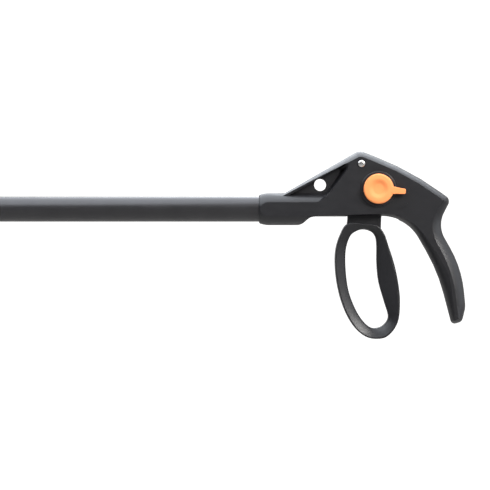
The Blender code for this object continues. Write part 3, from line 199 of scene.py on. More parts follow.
# The web's pocket: x, z, corner radius, and how far the corner has moved at the side face
POCKET_CORNERS = (
    (12, 3.5, 0, 0, 0),
    (86.6, 45.8, 3, 9.0, 5.1),
    (66.9, 14, 16, -4.2, -7.2),
    (40, 13, 0, 0, -6.2),
    (40, -4, 0, 0, 0),
    (12, -4, 0, 0, 0),
)
BRACE_CORNERS = ((10, -4, 0), (60, 22, 0), (92, 44, 0), (92, 70, 0), (10, 70, 0))
WEB_CORNERS = ((22, 9.3, 0), (40, 4, 0), (62, 4, 0), (75, 14, 0), (95, 47, 0), (92, 50, 0))
UNDERCUT_CORNERS = (
    (36, -30, 0),
    (36, -16.1, 0),
    (41.5, -16.1, 12),
    (51.5, UNDERSIDE, 12),
    (56, UNDERSIDE, 0),
    (56.5, -4, 0),
    (95, -4, 0),
    (95, -30, 0),
)
HOLLOW_CORNERS = (
    (86.8, -20, 0),
    (86.8, -2, 0),
    (83, -2, 0),
    (83, 30, 0),
    (94, 50.5, 2),
    (108, 51.5, 6),
    (139, 34, 3),
    (139, -20, 0),
)

# Around the finger loop, in millimetres: outer x, outer z, inner x, inner z
LOOP_STATIONS = (
    (104.0, -14.9, 104.0, -20.3),
    (117.6, -16.9, 111.4, -22.4),
    (124.2, -24.6, 115.6, -27.4),
    (128.2, -36.0, 116.8, -36.0),
    (133.8, -53.5, 116.9, -53.5),
    (137.8, -72.0, 118.8, -72.0),
    (139.8, -92.0, 124.4, -92.0),
    (137.5, -112.5, 128.4, -107.0),
    (127.6, -126.0, 123.2, -115.6),
    (115.5, -128.8, 114.8, -118.4),
    (104.0, -125.6, 108.0, -115.8),
    (93.5, -115.6, 100.5, -107.5),
    (84.9, -100.0, 93.8, -95.0),
    (78.9, -81.0, 88.6, -79.5),
    (75.8, -60.0, 86.1, -60.0),
    (76.1, -41.0, 86.2, -41.0),
    (80.5, -26.0, 90.4, -27.3),
    (88.0, -14.6, 96.8, -21.9),
)
LOOP_STEPS = 6
ARM_FRONT_CORNERS = ((87, -18, 0), (88.3, -8, 20), (86.3, 4, 8), (93, 10.5, 4))
ARM_BACK_CORNERS = ((126.3, 13, 6), (121.5, -7.4, 20), (121, -21, 0))
ARM_GROOVE_CORNERS = ((105, -6.4, 2), (105, 6.6, 2), (97, 8.5, 0), (78, 17, 0), (78, -6.4, 0))

# Stage, in metres
FLOOR_Z = -1.0
FLOOR_REACH = 14.0
BACKDROP_Y = 5.2
BEND = 0.8
# The floor's painted glow: the radius and fade of its bright pool on the backdrop, and its dimmer strength
# everywhere else
GLOW_RADIUS = 1.15
GLOW_FADE = 0.3
# How much a distance along Y counts in the painted glow's fading
GLOW_DEPTH = 0.7
FLOOR_GLOW = 0.35
VIEW_CENTRE = Vector((-13.9 * MM, -35.7 * MM))
# Each lamp: place (X from the collar's front edge), size, watts, colour, spread in degrees
LAMPS = {
    "top_softbox": ((-0.1, 0.08, 0.47), (1.5, 0.8), 16, (0.88, 0.93, 1.0), 180),
    "front_fill": ((1.5, -1.7, 1.4), (1.4, 1.2), 7.8, (1.0, 0.98, 0.96), 40),
    "rear_side": ((1.1, 0.0, 0.3), (0.9, 0.9), 4, (0.9, 0.94, 1.0), 180),
}


# ---------------- settings


class ReacherSettings(bpy.types.PropertyGroup):
    """Colours and finishes that can be changed before the pieces are built."""

    plastic_colour: bpy.props.FloatVectorProperty(
        name="Housing plastic",
        description="Colour of the moulded housing, trigger, head and jaws",
        subtype="COLOR",
        default=(0.011, 0.0107, 0.0125),
        min=0,
        max=1,
    )
    plastic_roughness: bpy.props.FloatProperty(
        name="Housing roughness",
        description="How dull the moulded plastic is",
        subtype="FACTOR",
        default=0.42,
        min=0,
        max=1,
    )
    knob_colour: bpy.props.FloatVectorProperty(
        name="Knob plastic",
        description="Colour of the lock knob",
        subtype="COLOR",
        default=(0.95, 0.155, 0.041),
        min=0,
        max=1,
    )
    tube_colour: bpy.props.FloatVectorProperty(
        name="Tube coating",
        description="Colour of the anodised tube",
        subtype="COLOR",
        default=(0.03, 0.029, 0.031),
        min=0,
        max=1,
    )
    rubber_colour: bpy.props.FloatVectorProperty(
        name="Pad rubber",
        description="Colour of the gripping pads",
        subtype="COLOR",
        default=(0.014, 0.0138, 0.0135),
        min=0,
        max=1,
    )
    edge_radius: bpy.props.FloatProperty(
        name="Edge radius",
        description="Rounding of the moulded pieces' edges",
        unit="LENGTH",
        default=0.6 * MM,
        min=0.1 * MM,
        max=1.2 * MM,
    )
    lens: bpy.props.FloatProperty(
        name="Lens",
        description="Focal length of the camera",
        unit="CAMERA",
        default=200,
        min=50,
        max=400,
    )
    view_width: bpy.props.FloatProperty(
        name="View width",
        description="Width of the scene that the camera takes in at the tool",
        unit="LENGTH",
        default=485.1 * MM,
        min=0.1,
        max=2.0,
    )


# ---------------- materials


def node(tree, kind, **values):
    """Adds a shader node and sets the named inputs."""
    made = tree.nodes.new(kind)
    for name, value in values.items():
        made.inputs[name.replace("_", " ")].default_value = value
    return made


def noise(tree, coords, scale, detail, stretch=(1, 1, 1)):
    """Noise over the piece's own coordinates, drawn out along an axis by a small stretch."""
    mapping = node(tree, "ShaderNodeMapping", Scale=stretch)
    tree.links.new(coords, mapping.inputs["Vector"])
    made = node(tree, "ShaderNodeTexNoise", Scale=scale, Detail=detail, Roughness=0.6)
    tree.links.new(mapping.outputs["Vector"], made.inputs["Vector"])
    return made.outputs["Fac"]


def spread_range(tree, source, low, high, first=0.3, last=0.7):
    """Spreads a stretch of a value, by default the middle of a noise, over a range."""
    made = node(tree, "ShaderNodeMapRange", From_Min=first, From_Max=last, To_Min=low, To_Max=high)
    tree.links.new(source, made.inputs["Value"])
    return made.outputs["Result"]


def blend_colours(tree, share, first, second):
    made = tree.nodes.new("ShaderNodeMix")
    made.data_type = "RGBA"
    made.inputs[6].default_value = (*first, 1)
    made.inputs[7].default_value = (*second, 1)
    tree.links.new(share, made.inputs[0])
    return made.outputs[2]


def finish_material(name, colour, roughness, grain, relief, metallic=0.0, mottle=0.1, uneven=0.05):
    """A procedural finish: mottled colour, uneven gloss, and a grain with a height in metres.

    The grain is (scale, stretch), where a small first value in the stretch draws it out along X.
    """
    material = bpy.data.materials.new(name)
    material.use_nodes = True
    tree = material.node_tree
    shader = tree.nodes["Principled BSDF"]
    shader.inputs["Metallic"].default_value = metallic
    coords = tree.nodes.new("ShaderNodeTexCoord").outputs["Object"]
    clouds = noise(tree, coords, 45, 5)
    shade = spread_range(tree, clouds, 0, 1)
    dark = [max(0.0, value * (1 - mottle)) for value in colour]
    light = [min(1.0, value * (1 + mottle)) for value in colour]
    tree.links.new(blend_colours(tree, shade, dark, light), shader.inputs["Base Color"])
    scale, stretch = grain
    fine = noise(tree, coords, scale, 3, stretch)
    rubbed = noise(tree, coords, 260, 4, (0.25, 1, 1))
    gloss = node(tree, "ShaderNodeMath")
    gloss.operation = "ADD"
    tree.links.new(spread_range(tree, rubbed, roughness - uneven, roughness + uneven), gloss.inputs[0])
    tree.links.new(spread_range(tree, fine, -uneven / 2, uneven / 2), gloss.inputs[1])
    tree.links.new(gloss.outputs["Value"], shader.inputs["Roughness"])
    bump = node(tree, "ShaderNodeBump", Strength=0.6, Distance=relief)
    tree.links.new(fine, bump.inputs["Height"])
    tree.links.new(bump.outputs["Normal"], shader.inputs["Normal"])
    return material


def material_of(name):
    """The named finish, made on first use."""
    if name in bpy.data.materials:
        return bpy.data.materials[name]
    chosen = bpy.context.scene.reacher
    even = (1, 1, 1)
    along = (0.04, 1, 1)
    if name == "moulded_plastic":
        gloss = chosen.plastic_roughness
        return finish_material(name, chosen.plastic_colour, gloss, (2600, even), 0.012 * MM)
    if name == "knob_plastic":
        return finish_material(name, chosen.knob_colour, 0.44, (2600, even), 0.01 * MM, mottle=0.03)
    if name == "anodised_aluminium":
        made = finish_material(name, chosen.tube_colour, 0.36, (1800, along), 0.006 * MM, metallic=0.35)
        shader = made.node_tree.nodes["Principled BSDF"]
        shader.inputs["Coat Weight"].default_value = 0.2
        shader.inputs["Coat Roughness"].default_value = 0.25
        return made
    if name == "pad_rubber":
        return finish_material(name, chosen.rubber_colour, 0.74, (1400, even), 0.03 * MM, mottle=0.25)
    if name == "white_nylon":
        return finish_material(name, (0.72, 0.7, 0.64), 0.5, (1800, even), 0.01 * MM, mottle=0.04)
    if name == "plated_steel":
        return finish_material(name, (0.75, 0.73, 0.7), 0.3, (900, even), 0.004 * MM, 1.0, 0.04)
    return finish_material(name, (0.52, 0.52, 0.53), 0.34, (1500, along), 0.006 * MM, 1.0, 0.08, 0.08)


# ---------------- outlines


def on_arc(centre, radius, angle):
    return Vector((centre[0] + radius * math.cos(angle), centre[1] + radius * math.sin(angle)))


def corner_arc(here, before, after, radius, step):
    """The points of a tangent arc in place of a sharp corner."""
    to_before = (before - here).normalized()
    to_after = (after - here).normalized()
    turn = math.pi - to_before.angle(to_after)
    if radius <= 0 or turn < 1e-3:
        return [here.copy()]
    start = here + to_before * radius * math.tan(turn / 2)
    centre = here + (to_before + to_after).normalized() * radius / math.cos(turn / 2)
    spoke = start - centre
    way = 1 if to_before.cross(to_after) < 0 else -1
    pieces = max(3, round(turn / step))
    return [centre + Matrix.Rotation(way * turn * piece / pieces, 2) @ spoke for piece in range(pieces + 1)]


def rounded(corners, unit=MM, step=ARC_STEP):
    """A closed outline with its corners rounded, and the index of each corner's middle."""
    sharp = [Vector(corner[:2]) for corner in corners]
    outline = []
    middles = []
    for index, corner in enumerate(corners):
        following = sharp[(index + 1) % len(sharp)]
        arc = corner_arc(sharp[index], sharp[index - 1], following, corner[2], step)
        middles.append(len(outline) + len(arc) // 2)
        outline += [point * unit for point in arc]
    return outline, middles


def inward(outline):
    """For each point, the step that draws both of its edges in by one unit."""
    pairs = zip(outline, outline[1:] + outline[:1])
    way = math.copysign(1, sum(a.cross(b) for a, b in pairs))
    steps = []
    for index, point in enumerate(outline):
        before = (point - outline[index - 1]).normalized()
        after = (outline[(index + 1) % len(outline)] - point).normalized()
        side = (before + after).normalized()
        steps.append(Vector((-side.y, side.x)) * way / max(0.3, side.dot(after)))
    return steps


def spread_amounts(outline, middles, amounts):
    """One amount for each outline point, changing evenly along the outline between corners."""
    count = len(outline)
    spread = [0.0] * count
    for index, start in enumerate(middles):
        stop = middles[(index + 1) % len(middles)]
        stations = [start]
        while stations[-1] != stop:
            stations.append((stations[-1] + 1) % count)
        lengths = [(outline[b] - outline[a]).length for a, b in zip(stations, stations[1:])]
        first, last = amounts[index], amounts[(index + 1) % len(amounts)]
        run = 0.0
        for station, length in zip(stations, lengths):
            spread[station] = first + (last - first) * run / sum(lengths)
            run += length
    return spread


def closed_curve(points, steps):
    """Points along a smooth closed curve through the given points."""
    count = len(points)
    made = []
    for index in range(count):
        p0, p1, p2, p3 = (points[(index + offset) % count] for offset in (-1, 0, 1, 2))
        for step in range(steps):
            t = step / steps
            straight = 2 * p1 + (p2 - p0) * t
            bend = (2 * p0 - 5 * p1 + 4 * p2 - p3) * t**2 + (3 * p1 - p0 - 3 * p2 + p3) * t**3
            made.append((straight + bend) / 2)
    return made


# ---------------- solids


def line_frame(start, direction):
    """A frame whose Z runs along the direction."""
    return Matrix.LocRotScale(Vector(start), Vector(direction).to_track_quat("Z", "Y"), None)


def stack(rings):
    """Extrudes an outline through (y, points) rings, point for point, with a cap at each end."""
    bm = bmesh.new()
    station = bm.verts.layers.int.new("station")
    y, points = rings[0]
    ring = [bm.verts.new((point.x, y, point.y)) for point in points]
    for index, vert in enumerate(ring):
        vert[station] = index
    first = bm.faces.new(ring)
    cap = first
    for y, points in rings[1:]:
        below = cap
        made = bmesh.ops.extrude_face_region(bm, geom=[below])["geom"]
        cap = next(item for item in made if isinstance(item, bmesh.types.BMFace))
        if below is not first:
            bm.faces.remove(below)
        for vert in cap.verts:
            point = points[vert[station]]
            vert.co = (point.x, y, point.y)
    bmesh.ops.recalc_face_normals(bm, faces=bm.faces)
    return bm


def round_edges(bm, edges, radius, segments=3):
    bmesh.ops.bevel(
        bm,
        geom=edges,
        offset=radius,
        offset_type="OFFSET",
        segments=segments,
        profile=0.5,
        affect="EDGES",
        material=-1,
        clamp_overlap=True,
    )
    return bm


def soften(bm, radius, least=math.radians(38), segments=3):
    """Rounds the edges that are sharper than the least angle."""
    bmesh.ops.recalc_face_normals(bm, faces=bm.faces)
    edges = [edge for edge in bm.edges if edge.is_manifold and edge.calc_face_angle(0) > least]
    return round_edges(bm, edges, radius, segments)


def prism(corners, low, high, unit=MM):
    """A rounded outline in XZ given a thickness along Y."""
    outline, _ = rounded(corners, unit)
    return stack([(low, outline), (high, outline)])


def box(low, high):
    bm = bmesh.new()
    size = Vector(high) - Vector(low)
    centre = (Vector(high) + Vector(low)) / 2
    bmesh.ops.create_cube(bm, size=1, matrix=Matrix.LocRotScale(centre, None, size))
    return bm


def bar(start, end, radius, segments=48):
    """A round bar between two points."""
    run = Vector(end) - Vector(start)
    matrix = line_frame((Vector(end) + Vector(start)) / 2, run)
    bm = bmesh.new()
    bmesh.ops.create_cone(
        bm,
        cap_ends=True,
        segments=segments,
        radius1=radius,
        radius2=radius,
        depth=run.length,
        matrix=matrix,
    )
    return bm


def across(place, low, high, radius, segments=48):
    """A round bar along Y at an XZ place."""
    return bar((place[0], low, place[1]), (place[0], high, place[1]), radius, segments)


def turned(profile, start, direction, segments=64, ring=False, edge=0.0):
    """Spins (radius, height) points about a line, and rounds the edges that it makes."""
    bm = bmesh.new()
    verts = [bm.verts.new((radius, 0, height)) for radius, height in profile]
    edges = [bm.edges.new(pair) for pair in zip(verts, verts[1:])]
    if ring:
        edges.append(bm.edges.new((verts[-1], verts[0])))
    bmesh.ops.spin(
        bm,
        geom=verts + edges,
        cent=(0, 0, 0),
        axis=(0, 0, 1),
        dvec=(0, 0, 0),
        angle=2 * math.pi,
        steps=segments,
        use_merge=True,
        use_duplicate=False,
    )
    bmesh.ops.remove_doubles(bm, verts=bm.verts, dist=1e-6)
    bmesh.ops.transform(bm, matrix=line_frame(start, direction), verts=bm.verts)
    bmesh.ops.recalc_face_normals(bm, faces=bm.faces)
    return soften(bm, edge, math.radians(30)) if edge else bm


def capsule(low, high, start, end, radius):
    """A slot's shape: a round-ended outline between two XZ points, with a thickness along Y."""
    run = (end - start).normalized() * radius
    side = Vector((-run.y, run.x))
    corners = (start - run - side, end + run - side, end + run + side, start - run + side)
    return prism([(*corner, radius * 0.98) for corner in corners], low, high, 1.0)


def crowned(corners, side, depth, crease, steps=14):
    """Half of a body, from the parting plane to its flat side, with crowned edges."""
    outline, middles = rounded(corners)
    draws = spread_amounts(outline, middles, [corner[3] * MM for corner in corners])
    inner = inward(outline)
    rings = []
    for step in range(steps + 1):
        height = PARTING + (1 - (1 - step / steps) ** 1.6) * (depth - PARTING)
        points = []
        for point, way, draw in zip(outline, inner, draws):
            drawn = 0.0
            if draw > 0:
                radius = (depth**2 + draw**2) / (2 * draw)
                drawn = radius - math.sqrt(radius**2 - height**2)
            points.append(point + way * drawn)
        rings.append((side * height, points))
    bm = stack(rings)
    cap = max(bm.faces, key=lambda face: side * face.calc_center_median().y)
    edges = [edge for edge in cap.edges if sum(vert.co.x for vert in edge.verts) / 2 > CREASE_FRONT_X]
    return round_edges(bm, edges, crease)


def pocket(side):
    """The space over the web: straight along the brace, and with a sloping wall at its rear."""
    outline, middles = rounded(POCKET_CORNERS)
    moves = [spread_amounts(outline, middles, [corner[i] * MM for corner in POCKET_CORNERS]) for i in (3, 4)]
    rings = []
    for step in range(9):
        share = step / 8 * 1.1
        points = [point + Vector(move) * share**1.2 for point, move in zip(outline, zip(*moves))]
        rings.append((side * (WEB_HALF + (HALF_WIDTH - WEB_HALF) * share), points))
    return stack(rings)


def brace_trim(side):
    """What is taken off the brace's side, which is narrower towards its nose."""
    bm = prism(BRACE_CORNERS, side * NOSE_HALF, side * THROUGH)
    for vert in bm.verts:
        if abs(vert.co.y) < THROUGH - 1 * MM:
            along = (vert.co.x - NOSE_X) / (BRACE_FULL_X - NOSE_X)
            vert.co.y = side * (NOSE_HALF + (HALF_WIDTH - NOSE_HALF) * along)
    return bm


# ---------------- objects


def new_object(name, bm):
    bmesh.ops.recalc_face_normals(bm, faces=bm.faces)
    mesh = bpy.data.meshes.new(name)
    bm.to_mesh(mesh)
    bm.free()
    item = bpy.data.objects.new(name, mesh)
    bpy.context.scene.collection.objects.link(item)
    return item


def combine(item, bm, operation="DIFFERENCE"):
    """Joins a solid to the piece or cuts it away, and keeps the result as the piece's own mesh."""
    other = new_object("cutter", bm)
    boolean = item.modifiers.new("combine", "BOOLEAN")
    boolean.operation = operation
    boolean.solver = "EXACT"
    boolean.object = other
    bpy.context.view_layer.update()
    graph = bpy.context.evaluated_depsgraph_get()
    result = bpy.data.meshes.new_from_object(item.evaluated_get(graph))
    item.modifiers.remove(boolean)
    if len(result.polygons) < 4:
        raise RuntimeError(f"{item.name} was emptied by a {operation.lower()}")
    before = item.data
    item.data = result
    bpy.data.meshes.remove(before)
    cutter = other.data
    bpy.data.objects.remove(other)
    bpy.data.meshes.remove(cutter)
    return item


def finish(item, body, material, replaced=(), sharp=math.radians(32)):
    """Puts a piece in its place, shades it, gives it its finish and lets it ride on its body."""
    mesh = item.data
    mesh.transform(Matrix.Translation(ORIGIN))
    mesh.materials.clear()
    mesh.materials.append(material_of(material))
    mesh.shade_smooth()
    mesh.set_sharp_from_angle(angle=sharp)
    weighted = item.modifiers.new("weighted_normals", "WEIGHTED_NORMAL")
    weighted.keep_sharp = True
    weighted.weight = 60
    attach(item, body)
    if replaced:
        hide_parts(*replaced)
    return item


# ---------------- pieces


def barrel(side):
    """Half of the collar and barrel, with a rounded lead-in and a flat at the side."""
    profile = [(0, 0), (COLLAR_FRONT_RADIUS - 0.8 * MM, 0), (COLLAR_FRONT_RADIUS, -0.8 * MM)]
    rise = COLLAR_RADIUS - COLLAR_FRONT_RADIUS
    for step in range(1, 11):
        share = step / 10
        profile.append((COLLAR_FRONT_RADIUS + rise * math.sin(share * math.pi / 2), -COLLAR_LEAD * share))
    profile += [(COLLAR_RADIUS, -BARREL_END), (0, -BARREL_END)]
    bm = turned(profile, (0, 0, 0), (-1, 0, 0), 128)
    for place, normal in ((side * PARTING, -side), (side * HALF_WIDTH, side)):
        geometry = bm.verts[:] + bm.edges[:] + bm.faces[:]
        cut = bmesh.ops.bisect_plane(
            bm, geom=geometry, plane_co=(0, place, 0), plane_no=(0, normal, 0), clear_outer=True
        )
        rim = [item for item in cut["geom_cut"] if isinstance(item, bmesh.types.BMEdge)]
        bmesh.ops.contextual_create(bm, geom=rim)
    return bm


def knob_boss():
    """The raised round seat behind the lock knob."""
    top = HALF_WIDTH + KNOB_BOSS_PROUD
    foot = HALF_WIDTH - 1 * MM
    profile = ((0, top), (KNOB_BOSS_RADIUS, top), (KNOB_BOSS_RADIUS, foot), (0, foot))
    return turned(profile, (LOCK.x, 0, LOCK.y), (0, -1, 0), 96, edge=0.9 * MM)


def handle_shell(name, side, radius):
    """One half of the handle: side is -1 for the left half and 1 for the right half."""
    shell = new_object(name, crowned(BODY_CORNERS, side, HALF_WIDTH, radius))
    combine(shell, pocket(side))
    combine(shell, brace_trim(side))
    combine(shell, prism(WEB_CORNERS, side * PARTING, side * WEB_HALF), "UNION")
    round_part = new_object(f"{name}_barrel", barrel(side))
    combine(round_part, prism(UNDERCUT_CORNERS, -THROUGH, THROUGH))
    joined = bmesh.new()
    joined.from_mesh(round_part.data)
    bpy.data.objects.remove(round_part)
    combine(shell, joined, "UNION")
    if side < 0:
        combine(shell, knob_boss(), "UNION")
    hollow_half = ARM_HALF + 0.75 * MM
    combine(shell, prism(HOLLOW_CORNERS, -hollow_half, hollow_half))
    combine(shell, bar((-5 * MM, 0, 0), (TUBE_BACK + GAP, 0, 0), TUBE_RADIUS + GAP, 96))
    combine(shell, bar((TUBE_BACK - 1 * MM, 0, 0), (SPRING_PASSAGE_END, 0, 0), SPRING_PASSAGE_RADIUS))
    combine(shell, across(HANG_HOLE, -THROUGH, THROUGH, HANG_HOLE_RADIUS, 64))
    combine(shell, across(PIVOT, -THROUGH, THROUGH, PIN_RADIUS + RUNNING))
    if side < 0:
        combine(shell, across(LOCK, -THROUGH, -3 * MM, HUB_RADIUS + RUNNING, 64))
        return shell
    for place in SCREW_PLACES:
        combine(shell, turned(screw_bore(), (place.x, 0, place.y), (0, 1, 0), 40))
    combine(shell, across(PIVOT, HALF_WIDTH - CLIP_RECESS_DEPTH, THROUGH, CLIP_RECESS_RADIUS, 64))
    combine(shell, across(LOCK, 3 * MM, HALF_WIDTH - JOURNAL_SKIN, JOURNAL_BORE_RADIUS))
    return shell


def screw_bore():
    """The profile of a closing screw's hole, with its recess for the head."""
    head = SCREW_HEAD_RADIUS + RUNNING
    shank = SCREW_RADIUS + RUNNING
    mouth = 25 * MM
    end = -5 * MM
    return ((0, mouth), (head, mouth), (head, SCREW_SEAT), (shank, SCREW_SEAT), (shank, end), (0, end))


def padlock_mark(name, place, swing):
    """A small raised padlock sign: a rounded body and a shackle that is shut, or swung open."""
    surface = -HALF_WIDTH + 0.05 * MM
    proud = -HALF_WIDTH - 0.25 * MM
    half = 1.7 * MM
    corners = ((-half, -1.5 * MM), (half, -1.5 * MM), (half, 1.1 * MM), (-half, 1.1 * MM))
    body = prism([(place.x + x, place.y + z, 0.4 * MM) for x, z in corners], surface, proud, 1.0)
    mark = new_object(name, soften(body, 0.05 * MM))
    hinge = place + Vector((1.1 * MM, 1.0 * MM))
    foot = Matrix.Rotation(swing, 2)
    outer = [foot @ on_arc((-1.1 * MM, 0.5 * MM), 1.4 * MM, math.pi * step / 16) for step in range(17)]
    inner = [foot @ on_arc((-1.1 * MM, 0.5 * MM), 0.9 * MM, math.pi * (1 - step / 16)) for step in range(17)]
    legs = [foot @ Vector((-2.5 * MM, -0.4 * MM)), foot @ Vector((-2.0 * MM, -0.4 * MM))]
    feet = [foot @ Vector((-0.2 * MM, -0.4 * MM)), foot @ Vector((0.3 * MM, -0.4 * MM))]
    outline = [hinge + point for point in [*outer, *legs, *inner, *feet]]
    combine(mark, stack([(surface, outline), (proud, outline)]), "UNION")
    return mark


def finger_loop():
    """The trigger's ring: a broad rim at its outer edge, and side faces that slope inwards."""
    outer = closed_curve([Vector((x, z)) * MM for x, z, _, _ in LOOP_STATIONS], LOOP_STEPS)
    inner = closed_curve([Vector((x, z)) * MM for _, _, x, z in LOOP_STATIONS], LOOP_STEPS)
    section = [
        (0.0, RIM_HALF - 0.4 * MM),
        (0.12, RIM_HALF),
        (0.5, 10.3 * MM),
        (0.86, 8.0 * MM),
        (1.0, 6.0 * MM),
    ]
    around = section + [(share, -half) for share, half in reversed(section)]
    bm = bmesh.new()
    station = bm.verts.layers.int.new("station")
    share, half = around[0]
    points = [a.lerp(b, share) for a, b in zip(outer, inner)]
    ring = [bm.verts.new((point.x, half, point.y)) for point in points]
    for index, vert in enumerate(ring):
        vert[station] = index
    first = [bm.edges.new((vert, ring[(index + 1) % len(ring)])) for index, vert in enumerate(ring)]
    edges = first
    for share, half in around[1:]:
        made = bmesh.ops.extrude_edge_only(bm, edges=edges)["geom"]
        edges = [item for item in made if isinstance(item, bmesh.types.BMEdge)]
        for vert in (item for item in made if isinstance(item, bmesh.types.BMVert)):
            point = outer[vert[station]].lerp(inner[vert[station]], share)
            vert.co = (point.x, half, point.y)
    bmesh.ops.bridge_loops(bm, edges=first + edges)
    return soften(bm, 0.9 * MM, math.radians(28), 4)


def arm_outline():
    """Boss, neck, the shoulder that the lock presses on, and the arm down to the loop."""
    neck_back, neck_front, shoulder_end = (math.radians(angle) for angle in (-86, -113, -46))
    points = []
    for step in range(33):
        angle = neck_front - step / 32 * (2 * math.pi + neck_front - neck_back)
        points.append((*on_arc(PIVOT, ARM_BOSS_RADIUS, angle), 0))
    for step in range(17):
        angle = neck_back + step / 16 * (shoulder_end - neck_back)
        points.append((*on_arc(PIVOT, SHOULDER_RADIUS, angle), 0))
    for x, z, radius in (*ARM_BACK_CORNERS, *ARM_FRONT_CORNERS):
        points.append((x * MM, z * MM, radius * MM))
    return points


def trigger_piece(edge):
    arm = prism(arm_outline(), -ARM_HALF, ARM_HALF, 1.0)
    trigger = new_object("trigger_lever", soften(arm, edge))
    combine(trigger, finger_loop(), "UNION")
    combine(trigger, prism(ARM_GROOVE_CORNERS, -EYE_HALF - GAP, EYE_HALF + GAP))
    drop = Vector((PIN_REST_X, 0)) - PIVOT
    start = PIVOT + drop.normalized() * (PIVOT.y - 0.1 * MM)
    end = PIVOT + drop.normalized() * (PIVOT.y / math.cos(TRIGGER_SWING / 2) + 0.1 * MM)
    combine(trigger, capsule(-THROUGH, THROUGH, start, end, CROSS_PIN_RADIUS + RUNNING))
    combine(trigger, across(PIVOT, -THROUGH, THROUGH, PIN_RADIUS + RUNNING))
    return trigger


def knob_piece():
    """The lock knob: a dished disc on a hub, with a tab that flares out of its rim."""
    profile = [(0, KNOB_FRONT - DISH_DEPTH)]
    for step in range(1, 9):
        share = step / 8
        height = KNOB_FRONT - DISH_DEPTH * (1 + math.cos(share * math.pi)) / 2
        profile.append((DISH_RADIUS * (0.4 + 0.62 * share), height))
    profile += [
        (KNOB_RADIUS - 2.6 * MM, KNOB_FRONT - 0.05 * MM),
        (KNOB_RADIUS - 1.0 * MM, KNOB_FRONT - 0.3 * MM),
        (KNOB_RADIUS - 0.3 * MM, KNOB_FRONT - 0.8 * MM),
        (KNOB_RADIUS, KNOB_FRONT - 1.5 * MM),
        (KNOB_RADIUS, KNOB_BACK),
        (HUB_RADIUS, KNOB_BACK),
        (HUB_RADIUS, HUB_END),
        (0, HUB_END),
    ]
    start = (LOCK.x, 0, LOCK.y)
    knob = new_object("knob", turned(profile, start, (0, -1, 0), 96, edge=0.35 * MM))
    outline = [(9.0, 0.9, 0.8), (11.6, 1.9, 6), (14.6, 4.2, 5), (17.6, 3.3, 5), (TAB_REACH / MM, 2.5, 1.6)]
    corners = [(along, -half, radius) for along, half, radius in outline]
    corners += [(along, half, radius) for along, half, radius in reversed(outline)]
    turn = Matrix.Rotation(TAB_ANGLE, 2)
    placed = [(*(LOCK + turn @ (Vector((along, half)) * MM)), radius * MM) for along, half, radius in corners]
    tab = prism(placed, -KNOB_FRONT, -KNOB_BACK - 0.9 * MM, 1.0)
    for vert in tab.verts:
        out = (Vector((vert.co.x, vert.co.z)) - LOCK).length
        if vert.co.y < -KNOB_BACK - 2 * MM:
            vert.co.y += 0.9 * MM * max(0.0, out - KNOB_RADIUS) / (TAB_REACH - KNOB_RADIUS)
    combine(knob, soften(tab, 0.6 * MM, segments=4), "UNION")
    return knob


def tube_piece():
    inner = TUBE_RADIUS - TUBE_WALL
    length = TUBE_BACK - TUBE_FRONT
    ring = ((inner, length), (TUBE_RADIUS, length), (TUBE_RADIUS, 0), (inner, 0))
    walls = turned(ring, (TUBE_FRONT, 0, 0), (1, 0, 0), 128, ring=True, edge=0.25 * MM)
    return new_object("tube_body", walls)


def head_piece(edge):
    """The fork that carries the jaws, with its round shoulder against the tube's front."""
    pivot_x = JAW_PIVOTS[1].x
    top = JAW_PIVOT_Z + CHEEK_ROUND
    half = (
        (pivot_x - CHEEK_ROUND, top, CHEEK_ROUND),
        (pivot_x + 12 * MM, top, 10 * MM),
        (pivot_x + 26 * MM, TUBE_RADIUS + 1 * MM, 10 * MM),
        (TUBE_FRONT - 4 * MM, TUBE_RADIUS - 0.5 * MM, 2 * MM),
    )
    corners = [*half, *((x, -z, radius) for x, z, radius in reversed(half))]
    head = new_object("jaw_fork", soften(prism(corners, -CHEEK_OUTER, CHEEK_OUTER, 1.0), edge))
    shoulder = TUBE_RADIUS + 1 * MM
    spigot = TUBE_RADIUS - TUBE_WALL - GAP
    profile = (
        (0, 30 * MM),
        (spigot, 30 * MM),
        (spigot, 0),
        (shoulder, 0),
        (shoulder, -6 * MM),
        (shoulder - 1.5 * MM, -9 * MM),
        (0, -9 * MM),
    )
    combine(head, turned(profile, (TUBE_FRONT - GAP, 0, 0), (1, 0, 0), 96, edge=0.4 * MM), "UNION")
    slot = JAW_HALF + GAP
    reach = 2 * JAW_PIVOT_Z
    combine(head, box((pivot_x - reach, -slot, -reach), (pivot_x + 28 * MM, slot, reach)))
    combine(head, bar((pivot_x, 0, 0), (TUBE_FRONT + 40 * MM, 0, 0), 3 * MM))
    for way in (1, -1):
        combine(head, across(JAW_PIVOTS[way], -THROUGH, THROUGH, JAW_PIN_RADIUS + RUNNING))
    rivet = node_place("head_rivet_left")
    combine(head, across((rivet.x, rivet.z), -THROUGH, THROUGH, HEAD_RIVET_RADIUS + RUNNING))
    return head


def slot_direction(way):
    """From a jaw's pivot to the middle of its slot, with the jaw closed."""
    return Vector((math.sin(JAW_SWING / 2), -way * math.cos(JAW_SWING / 2)))


def open_up(item, way):
    """Turns a jaw's piece from its closed place about its pivot to where it rests."""
    pivot = Vector((JAW_PIVOTS[way].x, 0, JAW_PIVOTS[way].y))
    item.data.transform(Matrix.Translation(pivot) @ Matrix.Rotation(way * JAW_SWING, 4, "Y"))
    return item


